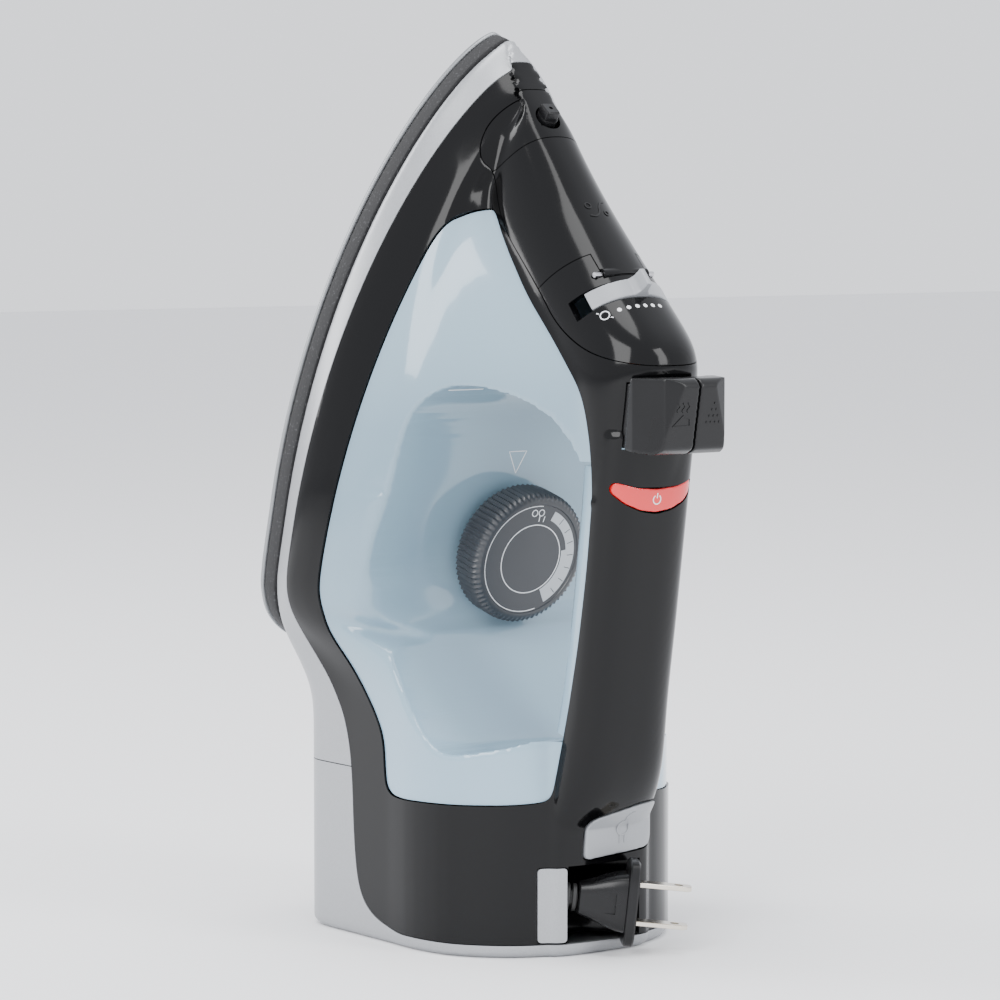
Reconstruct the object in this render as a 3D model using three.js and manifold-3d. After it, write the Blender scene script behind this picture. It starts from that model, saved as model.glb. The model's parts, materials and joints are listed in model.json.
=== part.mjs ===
// Household steam iron with a retractable cord, standing on its heel.
// Millimetres, +Z up (the nose points up), +X towards the handle, -X towards the ironing face,
// Y = 0 is the symmetry plane of the body. The origin ends at the bottom centre of the whole iron.
import * as THREE from 'three';
import { mergeVertices } from 'three/addons/utils/BufferGeometryUtils.js';
import { ParametricGeometry } from 'three/addons/geometries/ParametricGeometry.js';
import Module from 'manifold-3d';

const wasm = await Module();
wasm.setup();

// ---------- driving dimensions ----------
const LEAN = THREE.MathUtils.degToRad(15); // the ironing face leans this far off vertical
const SOLE_X0 = -86.9; // where the ironing face's plane meets the floor plane
const NOSE = 313.7; // nose tip, measured along the ironing face from the floor
const SOLE_REAR = 99; // rear edge of the soleplate, along the ironing face
const BOW_LENGTH = 160; // length over which the plan widens from the nose
const SOLE_HALF = 62; // greatest half width of the soleplate
const STACK = { sole: 3, skirt: 10, band: 20, frame: 35, shelf: 53 }; // heights above the face
const HEEL = { x0: -50, x1: 18.5, half: 49, corner: 14, rear: 40, top: 75 }; // footprint
const WALL = 2.4; // moulded wall thickness
const GAP = 0.35; // clearance between neighbouring pieces
const DIAL = { along: 149.3, radius: 23, face: 68, base: 55.5, teeth: 48 };
const REEL = { x: -6, z: 22.5, radius: 38.5, hub: 15, half: 15.5 };
const PLUG = { x: 53, y: -14, z: 19.6, turn: THREE.MathUtils.degToRad(57), tip: 6 };
const BLADE = { spacing: 12.7, width: 6.35, thick: 1.5, length: 17.5 };
const TAN = Math.tan(LEAN);
const COS = Math.cos(LEAN);
const SIN = Math.sin(LEAN);

// ---------- materials ----------
function finish(color, roughness, metalness = 0, extra = {}) {
  return new THREE.MeshStandardMaterial({ color, roughness, metalness, ...extra });
}

const glossBlack = finish('#121214', 0.12);
const satinBlack = finish('#2a2b2e', 0.45);
const speckledBlack = finish('#1d1e20', 0.75);
const silver = finish('#c4c6ca', 0.35, 0.3);
const tankBlue = finish('#b0c4d0', 0.1, 0, { transparent: true, opacity: 0.6 });
const dialGrey = finish('#4c4f54', 0.5);
const lightGrey = finish('#b4b7ba', 0.45);
const redClear = finish('#b81f22', 0.2, 0, { transparent: true, opacity: 0.85 });
const nickel = finish('#cfc9bd', 0.25, 1);
const steel = finish('#a9acb0', 0.35, 1);
const aluminium = finish('#9a9c9f', 0.4, 1);
const rubber = finish('#161617', 0.8);
const silicone = finish('#c9622f', 0.7);
const board = finish('#1f5a37', 0.6);
const whitePlastic = finish('#dcdcd8', 0.5);
const cordSheath = finish('#1a1a1b', 0.55);

// ---------- solids ----------
function solid(geometry, near = 1e-4) {
  const bare = geometry.clone();
  for (const name of ['normal', 'uv']) bare.deleteAttribute(name);
  const merged = mergeVertices(bare, near);
  const index = merged.index.array;
  const kept = [];
  for (let i = 0; i < index.length; i += 3) {
    const [a, b, c] = [index[i], index[i + 1], index[i + 2]];
    if (a !== b && b !== c && a !== c) kept.push(a, b, c);
  }
  const vertProperties = new Float32Array(merged.attributes.position.array);
  const triVerts = new Uint32Array(kept);
  const body = new wasm.Manifold(new wasm.Mesh({ numProp: 3, vertProperties, triVerts }));
  if (body.volume() > 0) return body;
  triVerts.reverse(); // faces that point inwards are turned round
  return new wasm.Manifold(new wasm.Mesh({ numProp: 3, vertProperties, triVerts }));
}

function geometryOf(body) {
  const found = body.getMesh();
  const geometry = new THREE.BufferGeometry();
  geometry.setAttribute('position', new THREE.BufferAttribute(found.vertProperties, 3));
  geometry.setIndex(new THREE.BufferAttribute(found.triVerts, 1));
  geometry.computeVertexNormals();
  return geometry;
}

function largest(body) {
  const pieces = body.decompose();
  return pieces.reduce((best, piece) => (piece.volume() > best.volume() ? piece : best));
}

function cut(body, ...tools) {
  return tools.reduce((left, tool) => left.subtract(tool), body);
}

function join(...bodies) {
  return bodies.reduce((sum, body) => sum.add(body));
}

// ---------- placed primitives ----------
function box(x0, x1, y0, y1, z0, z1) {
  const geometry = new THREE.BoxGeometry(x1 - x0, y1 - y0, z1 - z0);
  return geometry.translate((x0 + x1) / 2, (y0 + y1) / 2, (z0 + z1) / 2);
}

// a rod between two points; sides counts its facets
function rod(from, to, radius, sides = 20, endRadius = radius) {
  const a = new THREE.Vector3(...from);
  const b = new THREE.Vector3(...to);
  const length = a.distanceTo(b);
  const geometry = new THREE.CylinderGeometry(endRadius, radius, length, sides);
  const up = new THREE.Vector3(0, 1, 0);
  const turn = new THREE.Quaternion().setFromUnitVectors(up, b.clone().sub(a).normalize());
  geometry.applyQuaternion(turn);
  return geometry.translate(...a.add(b).multiplyScalar(0.5));
}

// turned piece standing on the origin along +Z; the profile lists [radius, height]
function turned(profile, sides = 32) {
  const points = profile.map(([r, z]) => new THREE.Vector2(r, z));
  return new THREE.LatheGeometry(points, sides).rotateX(Math.PI / 2);
}

// an outline in the side view (X, Z), extruded through the iron along Y
function sidePrism(outline, half = 90) {
  const shape = new THREE.Shape(outline.map(([x, z]) => new THREE.Vector2(x, z)));
  const geometry = new THREE.ExtrudeGeometry(shape, { depth: 2 * half, bevelEnabled: false });
  return solid(geometry.translate(0, 0, -half).rotateX(Math.PI / 2));
}

// an outline in the rear view (Y, Z), extruded along X from x0 to x1
function rearPrism(outline, x0, x1) {
  const shape = new THREE.Shape(outline.map(([y, z]) => new THREE.Vector2(y, z)));
  const geometry = new THREE.ExtrudeGeometry(shape, { depth: x1 - x0, bevelEnabled: false });
  const turn = new THREE.Matrix4().makeBasis(
    new THREE.Vector3(0, 1, 0), new THREE.Vector3(0, 0, 1), new THREE.Vector3(1, 0, 0));
  return geometry.applyMatrix4(turn).translate(x0, 0, 0);
}

// a smooth closed outline through the given corner points
function smoothOutline(points, count) {
  const curve = new THREE.CatmullRomCurve3(
    points.map(([a, b]) => new THREE.Vector3(a, b, 0)), true, 'centripetal');
  return curve.getPoints(count).slice(0, -1).map((v) => [v.x, v.y]);
}

function spring(from, to, radius, wire, turns) {
  const a = new THREE.Vector3(...from);
  const b = new THREE.Vector3(...to);
  const axis = b.clone().sub(a);
  const turn = new THREE.Quaternion().setFromUnitVectors(
    new THREE.Vector3(0, 0, 1), axis.clone().normalize());
  const points = [];
  for (let i = 0; i <= turns * 8; i += 1) {
    const angle = (i / 8) * 2 * Math.PI;
    const height = (i / (turns * 8)) * axis.length();
    points.push(new THREE.Vector3(radius * Math.cos(angle), radius * Math.sin(angle), height));
  }
  const section = new THREE.Shape();
  section.absarc(0, 0, wire / 2, 0, 2 * Math.PI);
  const coil = new THREE.ExtrudeGeometry(section, {
    steps: turns * 8,
    curveSegments: 2,
    extrudePath: new THREE.CatmullRomCurve3(points),
  });
  return coil.applyQuaternion(turn).translate(...a.toArray());
}

function pipe(points, radius, steps) {
  const section = new THREE.Shape();
  section.absarc(0, 0, radius, 0, 2 * Math.PI);
  return new THREE.ExtrudeGeometry(section, {
    steps,
    curveSegments: 4,
    extrudePath: new THREE.CatmullRomCurve3(points.map((p) => new THREE.Vector3(...p))),
  });
}

// ---------- outer form ----------
function mix(a, b, t) {
  return a + (b - a) * t;
}

function smooth(z, z0, z1) {
  return THREE.MathUtils.smoothstep(z, z0, z1);
}

// value at z of a line through [z, value] points
function along(points, z) {
  if (z <= points[0][0]) return points[0][1];
  for (let i = 1; i < points.length; i += 1) {
    const [z1, v1] = points[i];
    const [z0, v0] = points[i - 1];
    if (z <= z1) return mix(v0, v1, (z - z0) / (z1 - z0));
  }
  return points[points.length - 1][1];
}

// X of the plane at height h over the ironing face, at floor height z
function levelX(z, h) {
  return SOLE_X0 + z * TAN + h / COS;
}

// half width of the plan: s is the distance back from the nose
function bow(s, half) {
  const t = THREE.MathUtils.clamp(s / BOW_LENGTH, 0, 1);
  return half * (1 - (1 - t) ** 2) ** 0.72;
}

// the front edge leans back above the band
function noseAt(h) {
  return h <= 12 ? NOSE - 0.8 : h <= 19 ? mix(NOSE - 0.8, 307.4, (h - 12) / 7) : 307.4 - 0.67 * (h - 19);
}

function hullHalf(z, h, half) {
  const place = z / COS + h * TAN;
  const wide = bow(noseAt(h) - place, half);
  return mix(Math.min(HEEL.half, wide), wide, smooth(z, HEEL.top, 122));
}

const TOP_LINE = [[150, 84.5], [165, 87.5], [185, 91.5], [193, 93], [197.5, 94], [201, 91.5],
  [220, 72], [244.5, 49.5], [274.5, 26], [285, 17.2], [292, 11.6], [296, 9.4], [299.5, 6.8]];
const LOBE_HALF = [[150, 18], [170, 19], [190, 21], [216, 21], [244, 18.6], [272, 12.5],
  [283, 8.5], [292, 4.5], [301, 0.8]];
const LOBE_EDGE = [[150, 72], [170, 72], [183, 69], [193, 66], [205, 56], [216, 45], [233, 28],
  [245, 17], [301, 3]];
const CREASE_LEVEL = [[190, STACK.shelf], [245, 36], [301, 30]];
const SPINE = [[32, 58.5], [40, 60], [50, 65], [62, 69.5], [75, 73]];
const ARC_POINTS = 6;

// half outline of the body at height z, from the ironing side round to the handle side
function bodySection(z, inset) {
  const low = 1 - smooth(z, HEEL.top, 108);
  const start = Math.max(HEEL.x0, levelX(z, STACK.skirt)) + inset;
  const corner = mix(2, HEEL.corner, low);
  const halfAt = (h, half) => Math.max(0.3, hullHalf(z, h, half) - inset);
  const skirtHalf = halfAt(STACK.skirt, SOLE_HALF);
  const r = Math.min(corner, skirtHalf * 0.8);
  const points = [[start, skirtHalf - r]];
  for (const angle of [30, 60]) {
    const a = THREE.MathUtils.degToRad(angle);
    points.push([start + r * (1 - Math.cos(a)), skirtHalf - r + r * Math.sin(a)]);
  }
  points.push([start + r, skirtHalf]);
  const heelHalf = HEEL.half - inset;
  const ellipse = (degrees) => {
    const a = THREE.MathUtils.degToRad(degrees);
    return [HEEL.x1 + (HEEL.rear - inset) * Math.cos(a), heelHalf * Math.sin(a)];
  };
  const lobed = z >= 150;
  const crease = lobed ? along(CREASE_LEVEL, z) : STACK.shelf;
  const shelfX = levelX(z, crease) - inset;
  const lobeHalf = Math.max(0.25, along(LOBE_HALF, z) - inset);
  const edge = lobed ? [Math.max(along(LOBE_EDGE, z), shelfX - 4), lobeHalf] : [shelfX, 21];
  const top = lobed ? along(TOP_LINE, z) - 1.2 * inset : shelfX + 0.2;
  const hull = [
    [levelX(z, STACK.band), halfAt(STACK.band, 64.2)],
    [levelX(z, (STACK.band + STACK.frame) / 2), halfAt((STACK.band + STACK.frame) / 2, 63.6)],
    [levelX(z, Math.min(STACK.frame, crease)), halfAt(STACK.frame, 62)],
    [levelX(z, (STACK.frame + crease) / 2), halfAt((STACK.frame + crease) / 2, 60)],
    [shelfX, Math.max(lobeHalf + 0.1, halfAt(crease, 56))],
    [mix(shelfX, edge[0], 0.5), Math.max(lobeHalf, mix(halfAt(crease, 56), edge[1], 0.56))],
    edge,
  ];
  const heel = [[-15, heelHalf], [2, heelHalf], [HEEL.x1, heelHalf], ellipse(66), ellipse(44),
    ellipse(33), ellipse(24)];
  hull.forEach(([x, y], i) => {
    const held = lobed ? Math.min(x, top - 0.3 * (hull.length - i)) : x;
    points.push([mix(held, heel[i][0], low), mix(y, heel[i][1], low)]);
  });
  const last = points[points.length - 1];
  const heelTop = along(SPINE, z) - inset;
  const end = mix(top, Math.min(heelTop, 60), low);
  for (let i = 1; i <= ARC_POINTS; i += 1) {
    const a = (i / ARC_POINTS) * (Math.PI / 2);
    const x = last[0] + (end - last[0]) * Math.sin(a) ** 0.85;
    points.push([x, i === ARC_POINTS ? 0 : last[1] * Math.cos(a) ** 0.85]);
  }
  return points;
}

// closed solid through horizontal half outlines mirrored about Y = 0
function loft(levels, halfOutline) {
  const rings = levels.map((z) => {
    const half = halfOutline(z);
    const back = half.filter(([, y]) => y > 0).reverse().map(([x, y]) => [x, -y]);
    return [...half, ...back].map(([x, y]) => new THREE.Vector3(x, y, z));
  });
  const centre = (ring) => {
    const mid = new THREE.Vector3();
    ring.forEach((v) => mid.add(v));
    return mid.divideScalar(ring.length);
  };
  const rows = [rings[0].map(() => centre(rings[0])), ...rings,
    rings[0].map(() => centre(rings[rings.length - 1]))];
  const count = rings[0].length;
  const place = (u, v, target) => {
    const row = rows[Math.round(v * (rows.length - 1))];
    target.copy(row[Math.round(u * count) % count]);
  };
  return solid(new ParametricGeometry(place, count, rows.length - 1));
}

const BODY_LEVELS = [32, 42, 54, 66, 75, 82, 90, 98, 106, 114, 122, 135, 149.5, 150, 160, 172, 183,
  193, 198, 202, 210, 220, 232, 244, 256, 268, 280, 289, 295];

const BODY_TOP = 299.4;

function bodyLoft(inset) {
  const top = BODY_TOP - 2.2 * inset;
  const levels = [inset, ...BODY_LEVELS.filter((z) => z < top - 3), top];
  return loft(levels, (z) => bodySection(z, inset));
}

// handle centre line and section
const HANDLE_TOP = [[40, 58], [50, 66], [62, 70.5], [75, 73], [110, 78.5], [150, 84.5], [172, 88]];
const HANDLE_UNDER = [[40, 40], [62, 46], [75, 48.5], [110, 55.5], [150, 61], [172, 63]];
const HANDLE_LEVELS = [40, 50, 62, 75, 92, 110, 130, 150, 160, 172];

function handleSection(z, inset) {
  const outer = along(HANDLE_TOP, z) - inset;
  const inner = along(HANDLE_UNDER, z) + inset;
  const half = mix(19.8, 18, smooth(z, 50, 90)) - inset;
  const mid = (outer + inner) / 2;
  const reach = (outer - inner) / 2;
  const points = [];
  for (let i = 0; i <= 12; i += 1) {
    const a = (i / 12) * Math.PI;
    const side = Math.sign(Math.cos(a)) * Math.abs(Math.cos(a)) ** 0.66;
    points.push([mid - reach * side, i % 12 === 0 ? 0 : half * Math.sin(a) ** 0.66]);
  }
  return points;
}

function handleLoft(inset) {
  return loft(HANDLE_LEVELS, (z) => handleSection(z, inset));
}

// finger opening in the side view; grow widens it all round
function fingerOutline(grow) {
  const shelf = (z) => levelX(z, STACK.shelf);
  const corners = [[shelf(178), 178], [shelf(150), 150], [shelf(122), 122], [2.5, 104], [10, 88],
    [19, 76], [29, 67.5], [42, 68.5], [54, 74], [62, 90], [68, 120], [71, 148], [67, 164],
    [58, 176], [44, 183], [26, 185]];
  const mid = [36, 126];
  return smoothOutline(corners.map(([x, z]) => {
    const length = Math.hypot(x - mid[0], z - mid[1]);
    return [x + (x - mid[0]) / length * grow, z + (z - mid[1]) / length * grow];
  }), 40);
}

function outerForm(inset) {
  const opened = bodyLoft(inset).subtract(sidePrism(fingerOutline(inset)));
  return largest(opened.add(handleLoft(inset)));
}

const OUTER = outerForm(0);
// the mouldings are solid in the nose, above a slightly tilted plane
const HOLLOW = sidePrism([[-100, -10], [200, -10], [200, 293], [-100, 263]]);
const INNER = outerForm(WALL).intersect(HOLLOW);
const SHELL = OUTER.subtract(INNER);

// ---------- where one moulding ends and the next begins (side view) ----------
// the dark housing, from the nose down to the heel's rim
function darkRegion(shift) {
  const h = STACK.band + shift;
  return [[levelX(330, h), 330], [levelX(124, h), 124], [levelX(112, h) + 0.8, 112],
    [-34.5 + shift, 96], [-26.5 + shift, 82], [-20.5 + shift, 72], [-17 + shift, 58],
    [-15.8 + shift, 30], [-13 + shift, 15.5], [-5.5 + shift, 8.5 + shift],
    [8, 5 + shift], [14, 4.6 + shift], [200, 4.6 + shift], [200, 330]];
}

// the tank moulding's edge, clockwise from the apex
function tankRegion(shrink) {
  const s = shrink;
  const h = STACK.frame + s;
  return [[20, 246 - 2 * s], [levelX(238, h), 238], [levelX(126, h), 126], [levelX(114, h), 114],
    [-20 + s, 101], [-12.5 + s, 87], [-3 + s, 75], [0.8 + s, 68], [1.6 + s, 56],
    [3 + s, 51.5 + s], [8 + s, 49.3 + s], [52, 50.2 + s], [55 - s, 52 + s],
    [57 - s, 60], [62.6 - s, 87], [66.8 - s, 105], [71 - s, 129], [74 - s, 154], [73.6 - s, 170],
    [71.5 - s, 184], [65.5 - s, 193 - s], [54.5 - s, 205 - s], [43.5 - s, 216 - s],
    [28 - s, 234 - s]];
}

// the snout's covers start along this line
function headRegion(shift) {
  return [[24 + shift, 291], [18 + shift, 281], [14.5 + shift, 269], [18.5 + shift, 256],
    [27 + shift, 238], [50 + shift, 217 + shift], [58 + shift, 207.5 + shift],
    [70 + shift, 200 + shift], [82, 196 + shift], [100, 193 + shift], [140, 200], [100, 291]];
}

const DARK = sidePrism(darkRegion(0));
const LIGHT_CUT = sidePrism(darkRegion(-GAP));
const SNOUT = sidePrism(headRegion(0));
const SNOUT_CUT = sidePrism(headRegion(-GAP));
const TANK_CUT = sidePrism(tankRegion(0));
const HEEL_SEAM = 57;

// a half space beyond the plane at the given height above the ironing face
function aboveLevel(h) {
  return sidePrism([[levelX(-60, h), -60], [400, -60], [400, 400], [levelX(400, h), 400]]);
}

const iron = new THREE.Group();
const leaning = new THREE.Group();
leaning.rotation.y = LEAN;
leaning.position.x = SOLE_X0;
iron.add(leaning);

// turns the long edge of each needle-thin triangle, so that no face is left without an area
function flipThin(geometry, height = 0.002) {
  const position = geometry.attributes.position;
  const index = geometry.index.array;
  const at = (i) => new THREE.Vector3().fromBufferAttribute(position, i);
  const edges = new Map();
  for (let i = 0; i < index.length; i += 1) {
    edges.set(`${index[i]},${index[i % 3 === 2 ? i - 2 : i + 1]}`, i - (i % 3));
  }
  const touched = new Set();
  for (let t = 0; t < index.length; t += 3) {
    const ids = [index[t], index[t + 1], index[t + 2]];
    const lengths = ids.map((id, k) => at(id).distanceTo(at(ids[(k + 1) % 3])));
    const k = lengths.indexOf(Math.max(...lengths));
    const [a, c, b] = [ids[k], ids[(k + 1) % 3], ids[(k + 2) % 3]];
    const area = at(c).sub(at(a)).cross(at(b).sub(at(a))).length();
    const other = edges.get(`${c},${a}`);
    if (area / lengths[k] > height || other === undefined || touched.has(t) || touched.has(other)) continue;
    const d = [0, 1, 2].map((j) => index[other + j]).find((id) => id !== a && id !== c);
    if (b === d || edges.has(`${b},${d}`) || edges.has(`${d},${b}`)) continue;
    edges.set(`${b},${d}`, t).set(`${d},${b}`, other);
    index.set([a, d, b], t);
    index.set([d, c, b], other);
    touched.add(t).add(other);
  }
  return touched.size;
}

// the main body of a boolean's result, with slivers merged away
function cleaned(body) {
  const first = largest(body.simplify(0.07));
  const geometry = geometryOf(largest(solid(geometryOf(first), 5e-3)));
  flipThin(geometry);
  return geometryOf(largest(solid(geometry)));
}

function add(name, shape, material, parent = iron) {
  const geometry = shape.isBufferGeometry ? shape : cleaned(shape);
  const mesh = new THREE.Mesh(geometry, material);
  mesh.name = name;
  parent.add(mesh);
  return mesh;
}

// the same place in the leaning frame (height, Y, along) given in the standing frame
function leaned(h, y, p) {
  return [SOLE_X0 + h * COS + p * SIN, y, -h * SIN + p * COS];
}

// ---------- ironing face, chamber and heater (leaning frame: x = height, z = along) ----------
function soleOutline(inset) {
  const half = [];
  const nose = NOSE - 1.3 * inset;
  const rear = SOLE_REAR + inset;
  const length = Math.min(BOW_LENGTH, nose - rear - 26);
  for (let i = 0; i <= 12; i += 1) {
    const s = length * (i / 12) ** 1.7;
    half.push([bow(s, SOLE_HALF - inset), nose - s]);
  }
  const reach = half[half.length - 1][1] - rear - 22;
  half.push([SOLE_HALF - inset - 0.3, rear + 22 + reach * 0.5]);
  for (const [out, up] of [[-1.2, 22], [-4.5, 14], [-10, 7], [-18, 2], [-28, 0]]) {
    half.push([SOLE_HALF - inset + out, rear + up]);
  }
  const far = half.slice(1).reverse().map(([y, p]) => [-y, p]);
  return [...half, ...far];
}

function solePlate(inset, h0, h1, tool = 0) {
  const shape = new THREE.Shape(soleOutline(inset).map(([y, p]) => new THREE.Vector2(y, p)));
  const geometry = new THREE.ExtrudeGeometry(shape, { depth: h1 - h0 + 2 * tool, bevelEnabled: false });
  const turn = new THREE.Matrix4().makeBasis(
    new THREE.Vector3(0, 1, 0), new THREE.Vector3(0, 0, 1), new THREE.Vector3(1, 0, 0));
  return solid(geometry.applyMatrix4(turn).translate(h0 - tool, 0, 0));
}

const CHAMBER_INSET = 24;
const chamberWall = cut(solePlate(CHAMBER_INSET, 2.5, 6.6), solePlate(CHAMBER_INSET + 3, 3, 9));
let soleplate = join(solePlate(0, 0.9, STACK.sole), solePlate(1.1, 0, 1.2), chamberWall);
for (const side of [-1, 1]) {
  for (let i = 0; i < 5; i += 1) {
    const at = [side * (20 + 4.5 * i), 250 - 30 * i];
    const hole = rod([-2, at[0], at[1]], [6, at[0], at[1]], 1.6, 6);
    soleplate = soleplate.subtract(solid(hole));
  }
}
add('soleplate', soleplate, aluminium, leaning);
const gasket = cut(solePlate(CHAMBER_INSET, 6.9, 7.7), solePlate(CHAMBER_INSET + 3, 6, 9));
add('chamber_gasket', gasket, silicone, leaning);
const seatHole = solid(rod([6, 0, 245], [12, 0, 245], 3, 12));
add('steam_chamber_cover', cut(solePlate(CHAMBER_INSET, 8, 9.4), seatHole), steel, leaning);
const heaterHalf = [[27, 114], [45, 125], [46.5, 160], [43, 195], [35, 235], [21, 270], [10, 285]];
const heaterPath = [...heaterHalf.map(([y, p]) => [6.3, -y, p]), [6.3, 0, 290],
  ...heaterHalf.reverse().map(([y, p]) => [6.3, y, p])];
add('heating_element', pipe(heaterPath, 2.6, 26), steel, leaning);
const skirt = cut(solePlate(0.4, STACK.sole + GAP, STACK.skirt - GAP),
  solePlate(9, STACK.sole, STACK.skirt, 2));
add('heat_skirt', skirt, speckledBlack, leaning);

// ---------- light band and heel cover ----------
const lightShell = SHELL.subtract(LIGHT_CUT);
const valveHole = solid(rod(leaned(5, 0, 245), leaned(120, 0, 245), 3.6, 16));
const shaftHole = solid(rod(leaned(5, 0, DIAL.along), leaned(60, 0, DIAL.along), 4.2, 16));
const steamTubeHole = solid(rod(leaned(5, -12, 222), leaned(24, -12, 222), 3, 12));
const aboveSeam = solid(box(-100, 200, -90, 90, HEEL_SEAM + GAP / 2, 330));
const belowSeam = solid(box(-100, 200, -90, 90, -5, HEEL_SEAM - GAP / 2));
add('skirt_trim', cut(lightShell.intersect(aboveSeam), valveHole, steamTubeHole), silver);
const spindlePost = solid(rod([REEL.x, 0, 1], [REEL.x, 0, 4.4], 9, 20));
add('heel_cover', join(lightShell.intersect(belowSeam), spindlePost), silver);

// ---------- cord compartment ----------
const RECESS = [[45, -15], [90, -15], [90, 40], [57, 14], [50, 9], [45, 0]];

function floorPrism(outline, z0, z1) {
  const shape = new THREE.Shape(outline.map(([x, y]) => new THREE.Vector2(x, y)));
  const geometry = new THREE.ExtrudeGeometry(shape, { depth: z1 - z0, bevelEnabled: false });
  return solid(geometry.translate(0, 0, z0));
}

const recessCut = floorPrism(RECESS, 4, 30);
const recessBlock = floorPrism([[42.6, -26], [90, -26], [90, 16], [56, 16], [48, 11], [42.6, 1]], 5, 32);
const cordPort = solid(box(38, 51.2, -18.2, -11, 16, 24));
const outletCut = solid(box(51, 90, -24.4, -14.9, 4.6, 29.8));

// ---------- dark housing with the top of the handle ----------
const BUTTON_OUTLINE = [[-9.2, 31.6], [17.4, 33.6], [19.5, 36], [19.5, 47.6], [17, 49.6],
  [9, 49], [-7, 45.4], [-9, 43]];
const grow = (outline, by) => {
  const mid = outline.reduce((m, [a, b]) => [m[0] + a / outline.length, m[1] + b / outline.length], [0, 0]);
  return outline.map(([a, b]) => {
    const length = Math.hypot(a - mid[0], b - mid[1]);
    return [a + (a - mid[0]) / length * by, b + (b - mid[1]) / length * by];
  });
};
const rewindHole = solid(rearPrism(grow(BUTTON_OUTLINE, 1.1), 40, 90));
const CRESCENT = [[-16, 153.5], [-12, 150], [-6, 147.6], [0, 146.8], [6, 147.6], [12, 150],
  [16, 153.5], [15.6, 157], [8, 154.9], [0, 154.2], [-8, 154.9], [-15.6, 157]];
const powerHole = solid(rearPrism(grow(CRESCENT, 0.8), 74.6, 100));
const pairHole = solid(box(80, 120, -14.5, 14.5, 167.5, 189));
let housing = cut(SHELL.intersect(DARK), TANK_CUT, SNOUT_CUT, rewindHole, powerHole, pairHole);
housing = join(housing, OUTER.intersect(recessBlock).subtract(solid(box(0, 99, -60, 60, 0, 5))));
housing = cut(housing, recessCut, cordPort, rewindHole, outletCut);
add('main_housing', housing, glossBlack);

// ---------- water tank ----------
const tankForm = outerForm(0.7);
const tankHollow = outerForm(3);
const TANK_FLOOR = 25;
const handleZone = sidePrism([[43, 71], [64, 71], [90, 100], [90, 163], [58.6, 163], [50, 100]]);
const pumpBay = solid(box(57, 95, -16, 16, 163, 192));
const above = aboveLevel(TANK_FLOOR);
const tankWall = tankForm.intersect(sidePrism(tankRegion(GAP))).intersect(above);
const tankSpace = tankHollow.intersect(sidePrism(tankRegion(3))).intersect(aboveLevel(TANK_FLOOR + 2.4));
const opening = sidePrism(fingerOutline(0.7));
const roof = tankSpace.subtract(sidePrism(fingerOutline(3)));
const neckFrom = [34, 0, 214];
const neckTo = [48.5, 0, 228];
const dialSleeve = solid(rod(leaned(TANK_FLOOR, 0, DIAL.along), leaned(STACK.shelf - 1, 0, DIAL.along), 6.6, 20));
const valveSleeve = solid(rod(leaned(TANK_FLOOR, 0, 245), leaned(66, 0, 245), 6, 16));
const pumpWall = solid(box(54.6, 95, -18.4, 18.4, 160.6, 194.4));
const handleWall = sidePrism([[40.6, 68.6], [64, 68.6], [92, 97], [92, 165.4], [56.2, 165.4], [47.6, 100]]);
let tank = tankWall.subtract(roof.subtract(pumpWall).subtract(handleWall));
tank = join(tank, dialSleeve.intersect(tankWall), valveSleeve.intersect(tankWall));
tank = join(tank, solid(rod(neckFrom, neckTo, 8.5, 20)));
tank = cut(tank, opening, handleZone, pumpBay, shaftHole, valveHole,
  solid(rod([26, 0, 206], [60, 0, 239], 6.5, 20)));
add('water_tank', tank, tankBlue);

const handleForm = handleLoft(0.7).intersect(sidePrism(tankRegion(GAP)));
const handleLower = handleForm
  .subtract(handleLoft(3))
  .intersect(sidePrism([[44, 76], [60, 73], [90, 100], [90, 161.5], [58, 161.5], [48, 100]]));
add('handle_lower_shell', handleLower, tankBlue);

// ---------- snout covers ----------
// cuts square to the snout's slope, d millimetres down the slope from the nozzle cap's edge
const SLOPE = new THREE.Vector2(0.662, -0.7495);
const SLOPE_START = new THREE.Vector2(31.5, 267);

function slopeRegion(d0, d1, below = -60) {
  const out = new THREE.Vector2(-SLOPE.y, SLOPE.x);
  const corner = (d, side) => {
    const p = SLOPE_START.clone().addScaledVector(SLOPE, d).addScaledVector(out, side);
    return [p.x, p.y];
  };
  return sidePrism([corner(d0, below), corner(d1, below), corner(d1, 60), corner(d0, 60)]);
}

// the place d down the slope and out from it, at Y = y
function onSlope(d, out, y = 0) {
  const p = SLOPE_START.clone().addScaledVector(SLOPE, d)
    .addScaledVector(new THREE.Vector2(-SLOPE.y, SLOPE.x), out);
  return [p.x, y, p.y];
}

const snoutShell = SHELL.intersect(SNOUT);
const DOOR = { start: 0.3, end: 48, tongue: 58, half: 9 };
const tongue = slopeRegion(DOOR.end - 1, DOOR.tongue).intersect(solid(box(0, 200, -DOOR.half, DOOR.half, 150, 300)));
const tongueCut = slopeRegion(DOOR.end - 1, DOOR.tongue + 2.1)
  .intersect(solid(box(0, 200, -DOOR.half - GAP, DOOR.half + GAP, 150, 300)));
const SLIDER = { d: 61.5, length: 6.5, radius: 20.5, sweep: 50 };
const slotDepth = SLIDER.radius * (1 - Math.cos(THREE.MathUtils.degToRad(SLIDER.sweep + 16)));
const slotCut = slopeRegion(SLIDER.d - 0.6, SLIDER.d + SLIDER.length + 0.6, -slotDepth);
const capSpace = sidePrism([[-10, 240], [33, 240], [28.6, 262], [22, 271.6], [16, 275], [-10, 275.5]], 8);
add('nozzle_cap', cut(OUTER.intersect(SNOUT).intersect(slopeRegion(-60, 0)), capSpace,
  solid(rod([16, 0, 260], [40, 0, 290], 4.6, 20))), glossBlack);
const pinAt = (y) => onSlope(DOOR.tongue - 1.2, -2.9, y);
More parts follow.
